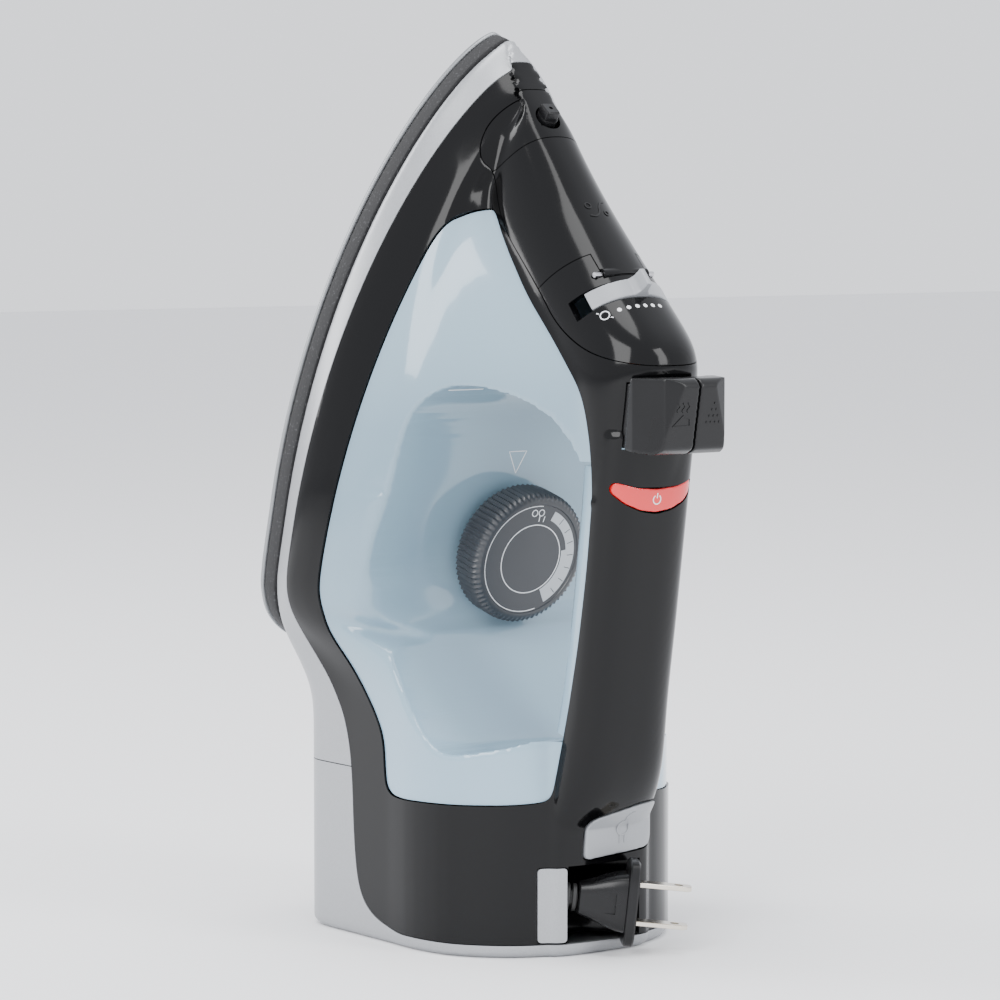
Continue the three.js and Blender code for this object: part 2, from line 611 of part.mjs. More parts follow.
const pinHole = solid(rod(pinAt(-14), pinAt(14), 1.25, 12));
const knuckle = solid(rod(pinAt(-DOOR.half), pinAt(DOOR.half), 2, 12));
add('fill_door', cut(join(snoutShell.intersect(slopeRegion(DOOR.start, DOOR.end)),
  snoutShell.intersect(tongue), knuckle), pinHole), glossBlack);
add('head_cover', cut(snoutShell.intersect(slopeRegion(DOOR.end + GAP, 120)), tongueCut, slotCut,
  pinHole), glossBlack);

add('fill_door_pin', rod(pinAt(-12), pinAt(12), 0.9, 10), steel);
const nozzle = join(solid(rod([17, 0, 262], [26.6, 0, 274], 3.6, 20)),
  solid(new THREE.BoxGeometry(5.2, 5.2, 4).rotateY(Math.PI / 4 - 0.13).translate(27, 0, 275)));
add('spray_nozzle', nozzle, satinBlack);

const sliderArc = new THREE.Shape();
const sweep = THREE.MathUtils.degToRad(SLIDER.sweep);
sliderArc.absarc(0, 0, SLIDER.radius + 0.8, -sweep, sweep, false);
sliderArc.absarc(0, 0, SLIDER.radius - 1.6, sweep, -sweep, true);
const sliderBand = new THREE.ExtrudeGeometry(sliderArc, {
  depth: SLIDER.length, bevelEnabled: false, curveSegments: 18 });
const tab = new THREE.Shape([[19.5, -3], [25, -0.9], [26.4, -0.9], [26.4, 0.9], [25, 0.9], [19.5, 3]]
  .map(([a, b]) => new THREE.Vector2(a, b)));
const sliderTab = new THREE.ExtrudeGeometry(tab, { depth: SLIDER.length, bevelEnabled: false });
const slider = join(solid(sliderBand), solid(sliderTab));
const slopeOut = new THREE.Vector3(-SLOPE.y, 0, SLOPE.x);
const slopeTurn = new THREE.Matrix4().makeBasis(
  slopeOut, new THREE.Vector3(0, 1, 0), new THREE.Vector3(-SLOPE.x, 0, -SLOPE.y));
const sliderGeometry = geometryOf(slider).applyMatrix4(slopeTurn)
  .translate(...onSlope(SLIDER.d + SLIDER.length, -SLIDER.radius));
add('steam_slider', sliderGeometry, lightGrey);
add('steam_valve_stem', rod(leaned(9.8, 0, 245), leaned(70, 0, 245), 2.6, 16), whitePlastic);

// ---------- pumps under the two buttons ----------
const BUTTON_FACE = [[88.6, 167.5], [99.5, 166.2], [103, 168], [106.6, 188.6], [104.5, 190.6], [91.6, 190.6]];
const PRESS = 2.5; // how far a button goes in

function pumpButton(side) {
  const faces = sidePrism(BUTTON_FACE);
  const outline = [[70, 0.4], [107.5, 0.4], [106.6, 6], [103.6, 12.2], [93, 16.8], [70, 17.5]]
    .map(([x, y]) => [x, side * y]);
  const block = floorPrism(side > 0 ? outline : outline.reverse(), 160, 195).intersect(faces);
  const clearance = outerForm(-0.5);
  const proud = cut(block, clearance, clearance.translate([PRESS + 0.3, 0, 0]));
  const [near, far] = [side * 0.4, side * 14.1].sort((a, b) => a - b);
  const skirt = solid(box(83, 98, near, far, 167.9, 188.6));
  const pistonRoom = solid(rod([80, side * 7.5, 178], [86.5, side * 7.5, 178], 3, 16));
  const stem = solid(rod([84.5, side * 7.5, 178], [96, side * 7.5, 178], 2, 16));
  return join(cut(join(proud, skirt), pistonRoom), stem);
}

const PUMP = { x0: 60, x1: 80, z: 178, y: 7.5, outer: 6.6, inner: 5.2 };
for (const [side, name] of [[-1, 'steam'], [1, 'spray']]) {
  const y = side * PUMP.y;
  add(`${name}_button`, pumpButton(side), satinBlack);
  const barrel = cut(solid(rod([PUMP.x0, y, PUMP.z], [PUMP.x1, y, PUMP.z], PUMP.outer)),
    solid(rod([PUMP.x0 + 2, y, PUMP.z], [PUMP.x1 + 1, y, PUMP.z], PUMP.inner)));
  add(`${name}_pump_body`, barrel, whitePlastic);
  const piston = join(solid(rod([75, y, PUMP.z], [78, y, PUMP.z], PUMP.inner - 0.3)),
    solid(rod([77, y, PUMP.z], [84.2, y, PUMP.z], 2.4, 16)));
  add(`${name}_pump_piston`, piston, whitePlastic);
  add(`${name}_pump_spring`, spring([63, y, PUMP.z], [74, y, PUMP.z], 3.6, 0.9, 4), steel);
}
add('spray_tube', pipe([[66.5, 13, 195.5], [62.5, 13, 201], [53.5, 13, 212.5], [44.5, 13, 223], [34.5, 11, 237],
  [28, 7, 250], [23.6, 2, 259.5]], 1.6, 12), silicone);

// ---------- power button and board in the handle ----------
const powerForm = outerForm(0.15).subtract(outerForm(2.4));
const powerButton = powerForm.intersect(solid(rearPrism(CRESCENT, 75.6, 100)));
add('power_button', join(powerButton, solid(rod([79.6, 0, 151], [83.4, 0, 151], 2, 12))), redClear);
add('power_switch', box(74.2, 78.2, -4, 4, 147, 155), satinBlack);
add('control_board', box(70, 71.6, -11, 11, 96, 160), board);

// ---------- temperature dial, shaft and thermostat (leaning frame) ----------
function knurled(radius, depth, teeth) {
  const shape = new THREE.Shape();
  for (let i = 0; i < teeth * 2; i += 1) {
    const a = (i / (teeth * 2)) * 2 * Math.PI;
    const r = i % 2 ? radius - depth : radius;
    shape[i ? 'lineTo' : 'moveTo'](r * Math.cos(a), r * Math.sin(a));
  }
  return shape;
}

const dialSolid = cut(
  solid(new THREE.ExtrudeGeometry(knurled(DIAL.radius, 0.7, DIAL.teeth), {
    depth: DIAL.face - DIAL.base, bevelEnabled: true, bevelSize: 0.9, bevelThickness: 1.2,
    bevelOffset: -0.9, bevelSegments: 1 }).translate(0, 0, 0.6)),
  solid(turned([[0, 12], [18.9, 12], [19.6, 20], [0, 20]], 40)),
  solid(rod([0, 0, -1], [0, 0, 8], 3.4, 16)));
const dial = add('temperature_dial', dialSolid, dialGrey, leaning);
dial.rotation.y = Math.PI / 2;
dial.position.set(DIAL.base, 0, DIAL.along);
add('dial_shaft', rod([22.5, 0, DIAL.along], [62.8, 0, DIAL.along], 3, 16), steel, leaning);
const thermostat = join(solid(box(13.4, 19, -9, 9, DIAL.along - 13, DIAL.along + 13)),
  solid(rod([18, 0, DIAL.along], [22, 0, DIAL.along], 4, 16)));
add('thermostat', thermostat, steel, leaning);
add('thermal_fuse', rod([15.6, 20, 150], [15.6, 20, 172], 2, 12), whitePlastic, leaning);
add('steam_tube', pipe([[23.8, -12, 222], [18, -12, 222], [9.8, -12, 222]], 2.2, 6), silicone, leaning);

// ---------- cord reel in the heel ----------
const R = REEL;
const reel = turned([[4.6, -R.half], [R.radius, -R.half], [R.radius, -R.half + 1.6], [R.hub, -R.half + 1.6],
  [R.hub, R.half - 1.6], [R.radius, R.half - 1.6], [R.radius, R.half], [4.6, R.half],
  [4.6, -R.half]], 32);
add('cord_reel', reel, whitePlastic).position.set(R.x, 0, R.z);
const winding = turned([[R.hub + 0.4, -R.half + 2], [R.radius - 4.5, -R.half + 2],
  [R.radius - 4.5, R.half - 2], [R.hub + 0.4, R.half - 2], [R.hub + 0.4, -R.half + 2]], 32);
add('cord_winding', winding, cordSheath).position.set(R.x, 0, R.z);
add('reel_spindle', turned([[0, -R.half - 2.2], [4.2, -R.half - 2.2], [4.2, R.half + 9.5],
  [0, R.half + 9.5]], 20), steel).position.set(R.x, 0, R.z);
const springCup = turned([[6, 16.6], [22, 16.6], [22, 24.4], [20.8, 24.4], [20.8, 17.8], [6, 17.8], [6, 16.6]], 32);
add('reel_spring_cup', springCup, steel).position.set(R.x, 0, R.z);

function spiral(inner, pitch, turns, thick) {
  const outer = [];
  const back = [];
  for (let i = 0; i <= turns * 12; i += 1) {
    const a = (i / 12) * 2 * Math.PI;
    const r = inner + pitch * (i / 12);
    outer.push(new THREE.Vector2((r + thick) * Math.cos(a), (r + thick) * Math.sin(a)));
    back.unshift(new THREE.Vector2(r * Math.cos(a), r * Math.sin(a)));
  }
  return new THREE.Shape([...outer, ...back]);
}

const coilSpring = new THREE.ExtrudeGeometry(spiral(6.5, 3, 4, 0.9), { depth: 5.4, bevelEnabled: false });
add('reel_spring', coilSpring, steel).position.set(R.x, 0, R.z + 18.4);
add('brush_block', box(-42, -31, 20, 33, 42, 50), satinBlack);
add('terminal_block', box(-37, -17, -38, -26, 42, 52), whitePlastic);

// ---------- rewind button and brake ----------
const rewindForm = outerForm(-0.7).subtract(outerForm(2.2));
const rewindFace = rewindForm.intersect(solid(rearPrism(BUTTON_OUTLINE, 44, 90)));
const rewindStem = solid(rod([50.5, 5, 40.5], [59.2, 5, 40.5], 3, 16));
add('rewind_button', join(rewindFace, rewindStem), lightGrey);
add('rewind_spring', spring([42.6, -4, 38], [55, -4, 38], 2.6, 0.8, 4), steel);
const shoe = join(solid(box(29, 47, 2, 8, 43, 46)), solid(box(28.2, 31.5, 2, 8, 38.6, 46)),
  solid(box(45.5, 48, 2, 8, 38.8, 46)));
add('brake_shoe', shoe, satinBlack);

// ---------- cord outlet, plug and blades ----------
add('cord_outlet', OUTER.intersect(solid(box(51.4, 90, -24, -15.3, 5, 29.4))), silver);
const plugFrame = new THREE.Group();
plugFrame.position.set(PLUG.x, PLUG.y, PLUG.z);
plugFrame.rotation.order = 'ZYX';
plugFrame.rotation.z = PLUG.turn;
plugFrame.rotation.y = THREE.MathUtils.degToRad(PLUG.tip);
iron.add(plugFrame);

// plug frame: x runs along the plug towards the blades, z up
function tapered(x0, x1, from, to, r = 2) {
  const place = (u, v, target) => {
    const t = THREE.MathUtils.clamp((Math.round(v * 3) - 1), 0, 1);
    const ends = v <= 0 || v >= 1;
    const [w, h] = [mix(from[0], to[0], t), mix(from[1], to[1], t)];
    const a = u * 2 * Math.PI;
    const round = (value) => Math.sign(value) * Math.abs(value) ** (r === 2 ? 0.5 : 1);
    const y = ends ? 0 : w * round(Math.cos(a));
    const z = ends ? 0 : h * round(Math.sin(a));
    target.set(mix(x0, x1, t), u >= 1 ? (ends ? 0 : w) : y, u >= 1 ? 0 : z);
  };
  return solid(new ParametricGeometry(place, 16, 3));
}

const plugBody = join(tapered(5.2, 21, [4.6, 5.2], [7.6, 9.6]), tapered(20.5, 24.2, [9, 14.2], [9, 14.2]));
add('plug_body', plugBody, satinBlack, plugFrame);
const relief = join(tapered(0.6, 4.9, [3, 3], [3, 3], 1), tapered(1, 2.2, [4, 4.6], [4, 4.6], 1),
  tapered(3.2, 4.4, [4, 4.6], [4, 4.6], 1));
add('plug_relief', relief, rubber, plugFrame);
for (const [name, z] of [['upper', BLADE.spacing / 2], ['lower', -BLADE.spacing / 2]]) {
  const tip = 24.5 + BLADE.length;
  const outline = [[24.5, -BLADE.width / 2], [tip - 1.4, -BLADE.width / 2], [tip, -BLADE.width / 2 + 1.4],
    [tip, BLADE.width / 2 - 1.4], [tip - 1.4, BLADE.width / 2], [24.5, BLADE.width / 2]];
  const blade = cut(floorPrism(outline, z - BLADE.thick / 2, z + BLADE.thick / 2),
    solid(rod([tip - 4.2, 0, z - 3], [tip - 4.2, 0, z + 3], 1.5, 14)));
  add(`plug_blade_${name}`, geometryOf(blade), nickel, plugFrame);
}
add('cord_lead', pipe([[17, -28, 20], [29, -20, 20], [40, -15.2, 20], [50.6, -14.6, 20]], 2.2, 8), cordSheath);

// ---------- screws ----------
function screw(name, at, turn) {
  const geometry = turned([[0, 0], [3.4, 0], [3.4, 1.4], [1.5, 2], [1.5, 10], [0, 11]], 12);
  const mesh = add(name, geometry, steel);
  mesh.position.set(...at);
  mesh.rotation.set(...turn);
}

[[-36, -34], [-36, 34], [28, -26], [28, 26]].forEach(([x, y], i) => {
  screw(`heel_screw_${i + 1}`, [x, y, WALL + 0.4], [0, 0, 0]);
});

// ---------- origin at the bottom centre ----------
const bounds = new THREE.Box3().setFromObject(iron);
const centre = bounds.getCenter(new THREE.Vector3());
iron.position.set(-centre.x, -centre.y, -bounds.min.z);
const part = new THREE.Group();
part.add(iron);

export default part;
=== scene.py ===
"""Look of a household steam iron with a retractable cord, standing on its heel."""

import json
import math

import bmesh
import bpy
import numpy as np
from mathutils import Matrix, Vector
from mathutils.bvhtree import BVHTree


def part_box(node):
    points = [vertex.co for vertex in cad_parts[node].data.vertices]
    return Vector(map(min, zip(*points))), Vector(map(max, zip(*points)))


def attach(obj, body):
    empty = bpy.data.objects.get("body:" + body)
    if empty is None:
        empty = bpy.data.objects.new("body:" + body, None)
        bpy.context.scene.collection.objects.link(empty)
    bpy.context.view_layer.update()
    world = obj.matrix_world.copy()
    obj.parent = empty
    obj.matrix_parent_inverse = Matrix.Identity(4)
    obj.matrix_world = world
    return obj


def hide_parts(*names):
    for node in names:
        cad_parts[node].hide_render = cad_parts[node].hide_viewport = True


bl_info = {
    "name": "Steam iron look",
    "version": (1, 0, 0),
    "blender": (4, 5, 0),
    "location": "View3D > Sidebar > Iron",
    "description": "Builds the shown pieces of a steam iron on its CAD frame",
    "category": "Object",
}

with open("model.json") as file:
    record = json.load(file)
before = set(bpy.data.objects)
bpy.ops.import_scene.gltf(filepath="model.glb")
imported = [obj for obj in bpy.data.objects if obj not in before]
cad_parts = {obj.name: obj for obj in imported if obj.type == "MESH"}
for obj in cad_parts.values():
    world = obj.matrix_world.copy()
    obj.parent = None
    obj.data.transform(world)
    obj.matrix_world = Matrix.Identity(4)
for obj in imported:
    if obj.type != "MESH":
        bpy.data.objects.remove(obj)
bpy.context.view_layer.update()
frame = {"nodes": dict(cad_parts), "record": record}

# Drawing coordinates are millimetres: +Z up, +X from the ironing face to the handle, Y = 0 the
# symmetry plane. The reel's spindle stands on X = -6, 4.8 above the floor, which places them.
SPINDLE_LOW, SPINDLE_HIGH = (Vector(corner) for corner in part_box("reel_spindle"))
MM = 0.001
SHIFT = Vector((
    (SPINDLE_LOW.x + SPINDLE_HIGH.x) / 2 + 6 * MM,
    (SPINDLE_LOW.y + SPINDLE_HIGH.y) / 2,
    SPINDLE_LOW.z - 4.8 * MM,
))
TO_ROW = Matrix.Translation(SHIFT) @ Matrix.Diagonal((MM, MM, MM, 1))

LEAN = math.radians(15)
TAN, COS, SIN = math.tan(LEAN), math.cos(LEAN), math.sin(LEAN)
SOLE_X0, NOSE, SOLE_REAR, BOW_LENGTH, SOLE_HALF = -86.9, 313.7, 99, 160, 62
SOLE, SKIRT, BAND, FRAME, SHELF = 3, 10, 20, 35, 53
HEEL_X0, HEEL_X1, HEEL_HALF, HEEL_CORNER, HEEL_REAR, HEEL_TOP = -50, 18.5, 49, 14, 40, 75
WALL, GAP, HEEL_SEAM, BODY_TOP = 2.4, 0.35, 57, 299.4
DIAL_ALONG, DIAL_FACE, DIAL_BASE = 149.3, 68, 55.5
VALVE_ALONG, PUMP_Y, PUMP_Z = 245, 7.5, 178


# ---------- settings ----------
class IronSettings(bpy.types.PropertyGroup):
    """Sizes and colours a user would change."""

    housing_colour: bpy.props.FloatVectorProperty(
        name="Housing", description="Colour of the glossy housing", subtype="COLOR",
        default=(0.0016, 0.0016, 0.0019), min=0, max=1)
    silver_colour: bpy.props.FloatVectorProperty(
        name="Silver", description="Colour of the band and the heel", subtype="COLOR",
        default=(0.36, 0.37, 0.385), min=0, max=1)
    tank_colour: bpy.props.FloatVectorProperty(
        name="Tank", description="Colour of the water tank", subtype="COLOR",
        default=(0.20, 0.30, 0.37), min=0, max=1)
    power_key_colour: bpy.props.FloatVectorProperty(
        name="Power key", description="Colour of the power key", subtype="COLOR",
        default=(0.62, 0.012, 0.014), min=0, max=1)
    form_voxel: bpy.props.FloatProperty(
        name="Form detail", description="Spacing of the outer form's surface points",
        default=0.9 * MM, min=0.4 * MM, max=3 * MM, unit="LENGTH", precision=5)
    knurls: bpy.props.IntProperty(
        name="Knurls", description="Ribs round the temperature dial", default=72, min=12, max=120)
    print_height: bpy.props.FloatProperty(
        name="Print height", description="How far printed marks stand off the surface",
        default=0.06 * MM, min=0.01 * MM, max=0.5 * MM, unit="LENGTH", precision=5)


def settings():
    """The settings in use."""
    return bpy.context.scene.iron_settings


# ---------- meshes ----------
def new_object(name, vertices, faces):
    """An object with a mesh of these vertices and faces, linked to the scene."""
    mesh = bpy.data.meshes.new(name)
    mesh.from_pydata([tuple(map(float, v)) for v in vertices], [], faces)
    mesh.update()
    made = bpy.data.objects.new(name, mesh)
    bpy.context.scene.collection.objects.link(made)
    return made


def discard(*objects):
    """Removes working objects with their meshes."""
    for item in objects:
        mesh = item.data
        bpy.data.objects.remove(item)
        bpy.data.meshes.remove(mesh)


def baked(item):
    """The object with its modifiers turned into its own mesh."""
    graph = bpy.context.evaluated_depsgraph_get()
    mesh = bpy.data.meshes.new_from_object(item.evaluated_get(graph))
    old = item.data
    item.modifiers.clear()
    item.data = mesh
    bpy.data.meshes.remove(old)
    return item


def copy_of(item, name="work"):
    """A second object with its own copy of the mesh."""
    made = bpy.data.objects.new(name, item.data.copy())
    bpy.context.scene.collection.objects.link(made)
    return made


def combined(item, tools, operation, keep=False):
    """The object after a boolean with each tool; the tools are removed unless kept."""
    for tool in tools:
        change = item.modifiers.new("boolean", "BOOLEAN")
        change.operation = operation
        change.solver = "MANIFOLD"
        change.object = tool
        baked(item)
    if not keep:
        discard(*tools)
    return item


def cut(item, *tools, keep=False):
    """The object less the tools."""
    return combined(item, tools, "DIFFERENCE", keep)


def common(item, *tools):
    """What the object and every tool share."""
    return combined(item, tools, "INTERSECT")


def join(item, *tools):
    """The object and the tools as one."""
    return combined(item, tools, "UNION")


def remeshed(item, voxel, passes):
    """Rounds the object's edges by remeshing it evenly and smoothing it."""
    change = item.modifiers.new("remesh", "REMESH")
    change.mode = "VOXEL"
    change.voxel_size = voxel
    soften = item.modifiers.new("smooth", "SMOOTH")
    soften.factor = 0.5
    soften.iterations = passes
    return baked(item)


def outward(item):
    """Turns the faces to point out."""
    work = bmesh.new()
    work.from_mesh(item.data)
    bmesh.ops.recalc_face_normals(work, faces=work.faces)
    work.to_mesh(item.data)
    work.free()
    return item


def lofted(rings, name="loft"):
    """Closed solid through equal rings of points, with flat ends."""
    count = len(rings[0])
    vertices = [v for ring in rings for v in ring]
    faces = [list(range(count))[::-1],
             [(len(rings) - 1) * count + i for i in range(count)]]
    for r in range(len(rings) - 1):
        a, b = r * count, (r + 1) * count
        faces += [(a + i, a + (i + 1) % count, b + (i + 1) % count, b + i) for i in range(count)]
    return outward(new_object(name, vertices, faces))


def side_prism(outline, half=90):
    """An outline in X and Z, through the iron along Y."""
    return lofted([[(x, y, z) for x, z in outline] for y in (-half, half)])


def rear_prism(outline, x0, x1):
    """An outline in Y and Z, along X."""
    return lofted([[(x, y, z) for y, z in outline] for x in (x0, x1)])


def floor_prism(outline, z0, z1):
    """An outline in X and Y, along Z."""
    return lofted([[(x, y, z) for x, y in outline] for z in (z0, z1)])


def box(x0, x1, y0, y1, z0, z1):
    """A block between the limits."""
    return floor_prism([(x0, y0), (x1, y0), (x1, y1), (x0, y1)], z0, z1)


def basis(axis):
    """Two unit vectors square to an axis and to each other."""
    axis = Vector(axis).normalized()
    side = axis.cross(Vector((0, 1, 0)))
    if side.length < 0.1:
        side = axis.cross(Vector((1, 0, 0)))
    side.normalize()
    return side, axis.cross(side)


def turned(start, end, profile, sides=64, name="turned"):
    """Round solid along the line from start to end: the profile lists (distance, radius)."""
    start, end = Vector(start), Vector(end)
    axis = (end - start).normalized()
    side, up = basis(axis)
    rings = []
    for distance, radius in profile:
        ring = []
        for i in range(sides):
            a = 2 * math.pi * i / sides
            spread = radius if not callable(radius) else radius(a)
            ring.append(start + axis * distance + (side * math.cos(a) + up * math.sin(a)) * spread)
        rings.append(ring)
    return lofted(rings, name)


def rod(start, end, radius, sides=48):
    """A plain round rod."""
    length = (Vector(end) - Vector(start)).length
    return turned(start, end, [(0, radius), (length, radius)], sides)


# ---------- outlines ----------
def mix(a, b, t):
    """The value t of the way from a to b."""
    return a + (b - a) * t


def smooth(z, z0, z1):
    """Rises smoothly from 0 at z0 to 1 at z1."""
    t = min(1, max(0, (z - z0) / (z1 - z0)))
    return t * t * (3 - 2 * t)


def along(points, z):
    """The value at z of a line through (z, value) points."""
    return float(np.interp(z, [p[0] for p in points], [p[1] for p in points]))


def spline(points, count, closed=True):
    """Centripetal Catmull-Rom curve through the points."""
    pts = [np.array(p, float) for p in points]
    if closed:
        pts = [pts[-1], *pts, pts[0], pts[1]]
    else:
        pts = [2 * pts[0] - pts[1], *pts, 2 * pts[-1] - pts[-2]]
    spans = len(pts) - 3
    out = []
    for k in range(count if closed else count + 1):
        u = k / count * spans
        i = min(int(u), spans - 1)
        p = pts[i:i + 4]
        t = [0.0]
        for a, b in zip(p, p[1:]):
            t.append(t[-1] + max(1e-6, float(np.linalg.norm(b - a))) ** 0.5)
        x = mix(t[1], t[2], u - i)
        a1, a2, a3 = (p[j] + (p[j + 1] - p[j]) * ((x - t[j]) / (t[j + 1] - t[j])) for j in range(3))
        b1 = a1 + (a2 - a1) * ((x - t[0]) / (t[2] - t[0]))
        b2 = a2 + (a3 - a2) * ((x - t[1]) / (t[3] - t[1]))
        out.append(b1 + (b2 - b1) * ((x - t[1]) / (t[2] - t[1])))
    return out


def filleted(outline, radius, steps=8):
    """The outline with each corner rounded off over the given distance."""
    pts = [np.array(p, float) for p in outline]
    out = []
    for i, corner in enumerate(pts):
        before, after = pts[i - 1] - corner, pts[(i + 1) % len(pts)] - corner
        lb, la = np.linalg.norm(before), np.linalg.norm(after)
        a = corner + before / lb * min(radius, 0.49 * lb)
        b = corner + after / la * min(radius, 0.49 * la)
        for k in range(steps + 1):
            t = k / steps
            out.append((1 - t) ** 2 * a + 2 * t * (1 - t) * corner + t * t * b)
    return out


# ---------- outer form ----------
def level_x(z, h):
    """X of the plane h above the ironing face, at floor height z."""
    return SOLE_X0 + z * TAN + h / COS


def bow(s, half):
    """Half width of the plan, s back from the nose."""
    t = min(1, max(0, s / BOW_LENGTH))
    return half * (1 - (1 - t) ** 2) ** 0.72


def nose_at(h):
    """Where the front edge is at height h over the ironing face."""
    return along([(12, NOSE - 0.8), (19, 307.4), (119, 240.4)], h)


def hull_half(z, h, half):
    """Half width of the hull at floor height z and height h over the ironing face."""
    wide = bow(nose_at(h) - (z / COS + h * TAN), half)
    return mix(min(HEEL_HALF, wide), wide, smooth(z, HEEL_TOP, 122))


TOP_LINE = [(150, 84.5), (165, 87.5), (185, 91.5), (193, 93), (197.5, 94), (201, 91.5),
            (220, 72), (244.5, 49.5), (274.5, 26), (285, 17.2), (292, 11.6), (296, 9.4),
            (299.5, 6.8)]
LOBE_HALF = [(150, 18), (170, 19), (190, 21), (216, 21), (244, 18.6), (272, 12.5), (283, 8.5),
             (292, 4.5), (301, 0.8)]
LOBE_EDGE = [(150, 72), (170, 72), (183, 69), (193, 66), (205, 56), (216, 45), (233, 28),
             (245, 17), (301, 3)]
CREASE_LEVEL = [(190, SHELF), (245, 36), (301, 30)]
SPINE = [(32, 58.5), (40, 60), (50, 65), (62, 69.5), (75, 73)]


def body_section(z, inset):
    """Half outline of the body at height z, from the ironing side to the handle side."""
    low = 1 - smooth(z, HEEL_TOP, 108)
    start = max(HEEL_X0, level_x(z, SKIRT)) + inset

    def half_at(h, half):
        return max(0.3, hull_half(z, h, half) - inset)

    skirt_half = half_at(SKIRT, SOLE_HALF)
    r = min(mix(2, HEEL_CORNER, low), skirt_half * 0.8)
    points = [(start, skirt_half - r)]
    for degrees in (15, 30, 45, 60, 75):
        a = math.radians(degrees)
        points.append((start + r * (1 - math.cos(a)), skirt_half - r + r * math.sin(a)))
    points.append((start + r, skirt_half))
    heel_half = HEEL_HALF - inset

    def ellipse(degrees):
        a = math.radians(degrees)
        return HEEL_X1 + (HEEL_REAR - inset) * math.cos(a), heel_half * math.sin(a)

    lobed = z >= 150
    crease = along(CREASE_LEVEL, z) if lobed else SHELF
    shelf_x = level_x(z, crease) - inset
    lobe_half = max(0.25, along(LOBE_HALF, z) - inset)
    edge = (max(along(LOBE_EDGE, z), shelf_x - 4), lobe_half) if lobed else (shelf_x, 21)
    top = along(TOP_LINE, z) - 1.2 * inset if lobed else shelf_x + 0.2
    mid_frame, mid_crease = (BAND + FRAME) / 2, (FRAME + crease) / 2
    hull = [
        (level_x(z, BAND), half_at(BAND, 64.2)),
        (level_x(z, mid_frame), half_at(mid_frame, 63.6)),
        (level_x(z, min(FRAME, crease)), half_at(FRAME, 62)),
        (level_x(z, mid_crease), half_at(mid_crease, 60)),
        (shelf_x, max(lobe_half + 0.1, half_at(crease, 56))),
        (mix(shelf_x, edge[0], 0.5),
         max(lobe_half, mix(half_at(crease, 56), edge[1], 0.56))),
        edge,
    ]
    heel = [(-15, heel_half), (2, heel_half), (HEEL_X1, heel_half), ellipse(66), ellipse(44),
            ellipse(33), ellipse(24)]
    for i, ((x, y), (hx, hy)) in enumerate(zip(hull, heel)):
        held = min(x, top - 0.3 * (len(hull) - i)) if lobed else x
        points.append((mix(held, hx, low), mix(y, hy, low)))
    last = points[-1]
    end = mix(top, min(along(SPINE, z) - inset, 60), low)
    for i in range(1, 15):
        a = i / 14 * math.pi / 2
        x = last[0] + (end - last[0]) * math.sin(a) ** 0.85
        points.append((x, 0 if i == 14 else last[1] * math.cos(a) ** 0.85))
    return points


def smoothed_rows(rows, weight=2.2):
    """Rows of points smoothed from level to level, the first and last held."""
    rows = np.array(rows)
    reach = int(weight * 3)
    kernel = np.exp(-0.5 * (np.arange(-reach, reach + 1) / weight) ** 2)
    kernel /= kernel.sum()
    padded = np.concatenate([
        2 * rows[:1] - rows[1:reach + 1][::-1], rows, 2 * rows[-1:] - rows[-reach - 1:-1][::-1]])
    return np.stack([np.tensordot(kernel, padded[i:i + len(kernel)], 1) for i in range(len(rows))])


def dense_half(points, count=90):
    """A half outline with evenly spaced points, kept on one side of the symmetry plane."""
    curve = np.array(spline(points, count, closed=False))
    curve[:, 1] = np.maximum(curve[:, 1], 0)
    furthest = np.maximum.accumulate(curve[:, 0])
    curve = curve[np.concatenate([[True], curve[1:, 0] > furthest[:-1]])]
    length = np.concatenate([[0], np.cumsum(np.linalg.norm(np.diff(curve, axis=0), axis=1))])
    even = np.linspace(0, length[-1], count + 1)
    return [(np.interp(d, length, curve[:, 0]), np.interp(d, length, curve[:, 1])) for d in even]


def mirrored(half, z):
    """A whole ring from a half outline that ends on the symmetry plane."""
    ring = [(x, y, z) for x, y in half]
    return ring + [(x, -y, z) for x, y in half[-2::-1]]


def body_loft(inset):
    """The body without handle or finger gap, drawn in by inset."""
    top = BODY_TOP - 2.2 * inset
    foot_radius, foot_reach = 1.6, 45
    rings = []
    for z0, z1 in ((inset, 149.5), (150.0, top)):
        levels = np.linspace(z0, z1, 76)
        rows = smoothed_rows([dense_half(body_section(z, inset)) for z in levels])
        for z, row in zip(levels, rows):
            foot = max(0.0, foot_radius - (z - inset))
            shrink = foot_radius - math.sqrt(foot_radius ** 2 - foot ** 2)
            if shrink:
                row = row * (1 - shrink / foot_reach)
            rings.append(mirrored([tuple(p) for p in row], z))
    return lofted(rings)


def squared_circle(power, count):
    """Points round a circle of radius 1, squarer the lower the power."""
    out = []
    for i in range(count):
        a = i / count * 2 * math.pi
        c, s = math.cos(a), math.sin(a)
        out.append((math.copysign(abs(c) ** power, c), math.copysign(abs(s) ** power, s)))
    return out


HANDLE_TOP = [(40, 58), (50, 66), (62, 70.5), (75, 73), (110, 78.5), (150, 84.5), (172, 88)]
HANDLE_UNDER = [(40, 40), (62, 46), (75, 48.5), (110, 55.5), (150, 61), (172, 63)]


def handle_loft(inset):
    """The handle, drawn in by inset."""
    levels = np.linspace(40, 172, 67)
    rows = []
    for z in levels:
        outer = along(HANDLE_TOP, z) - inset
        inner = along(HANDLE_UNDER, z) + inset
        half = mix(19.8, 18, smooth(z, 50, 90)) - inset
        middle, reach = (outer + inner) / 2, (outer - inner) / 2
        rows.append([(middle - reach * c, half * s) for c, s in squared_circle(0.66, 96)])
    rows = smoothed_rows(rows, 2.5)
    return lofted([[(x, y, z) for x, y in row] for z, row in zip(levels, rows)])


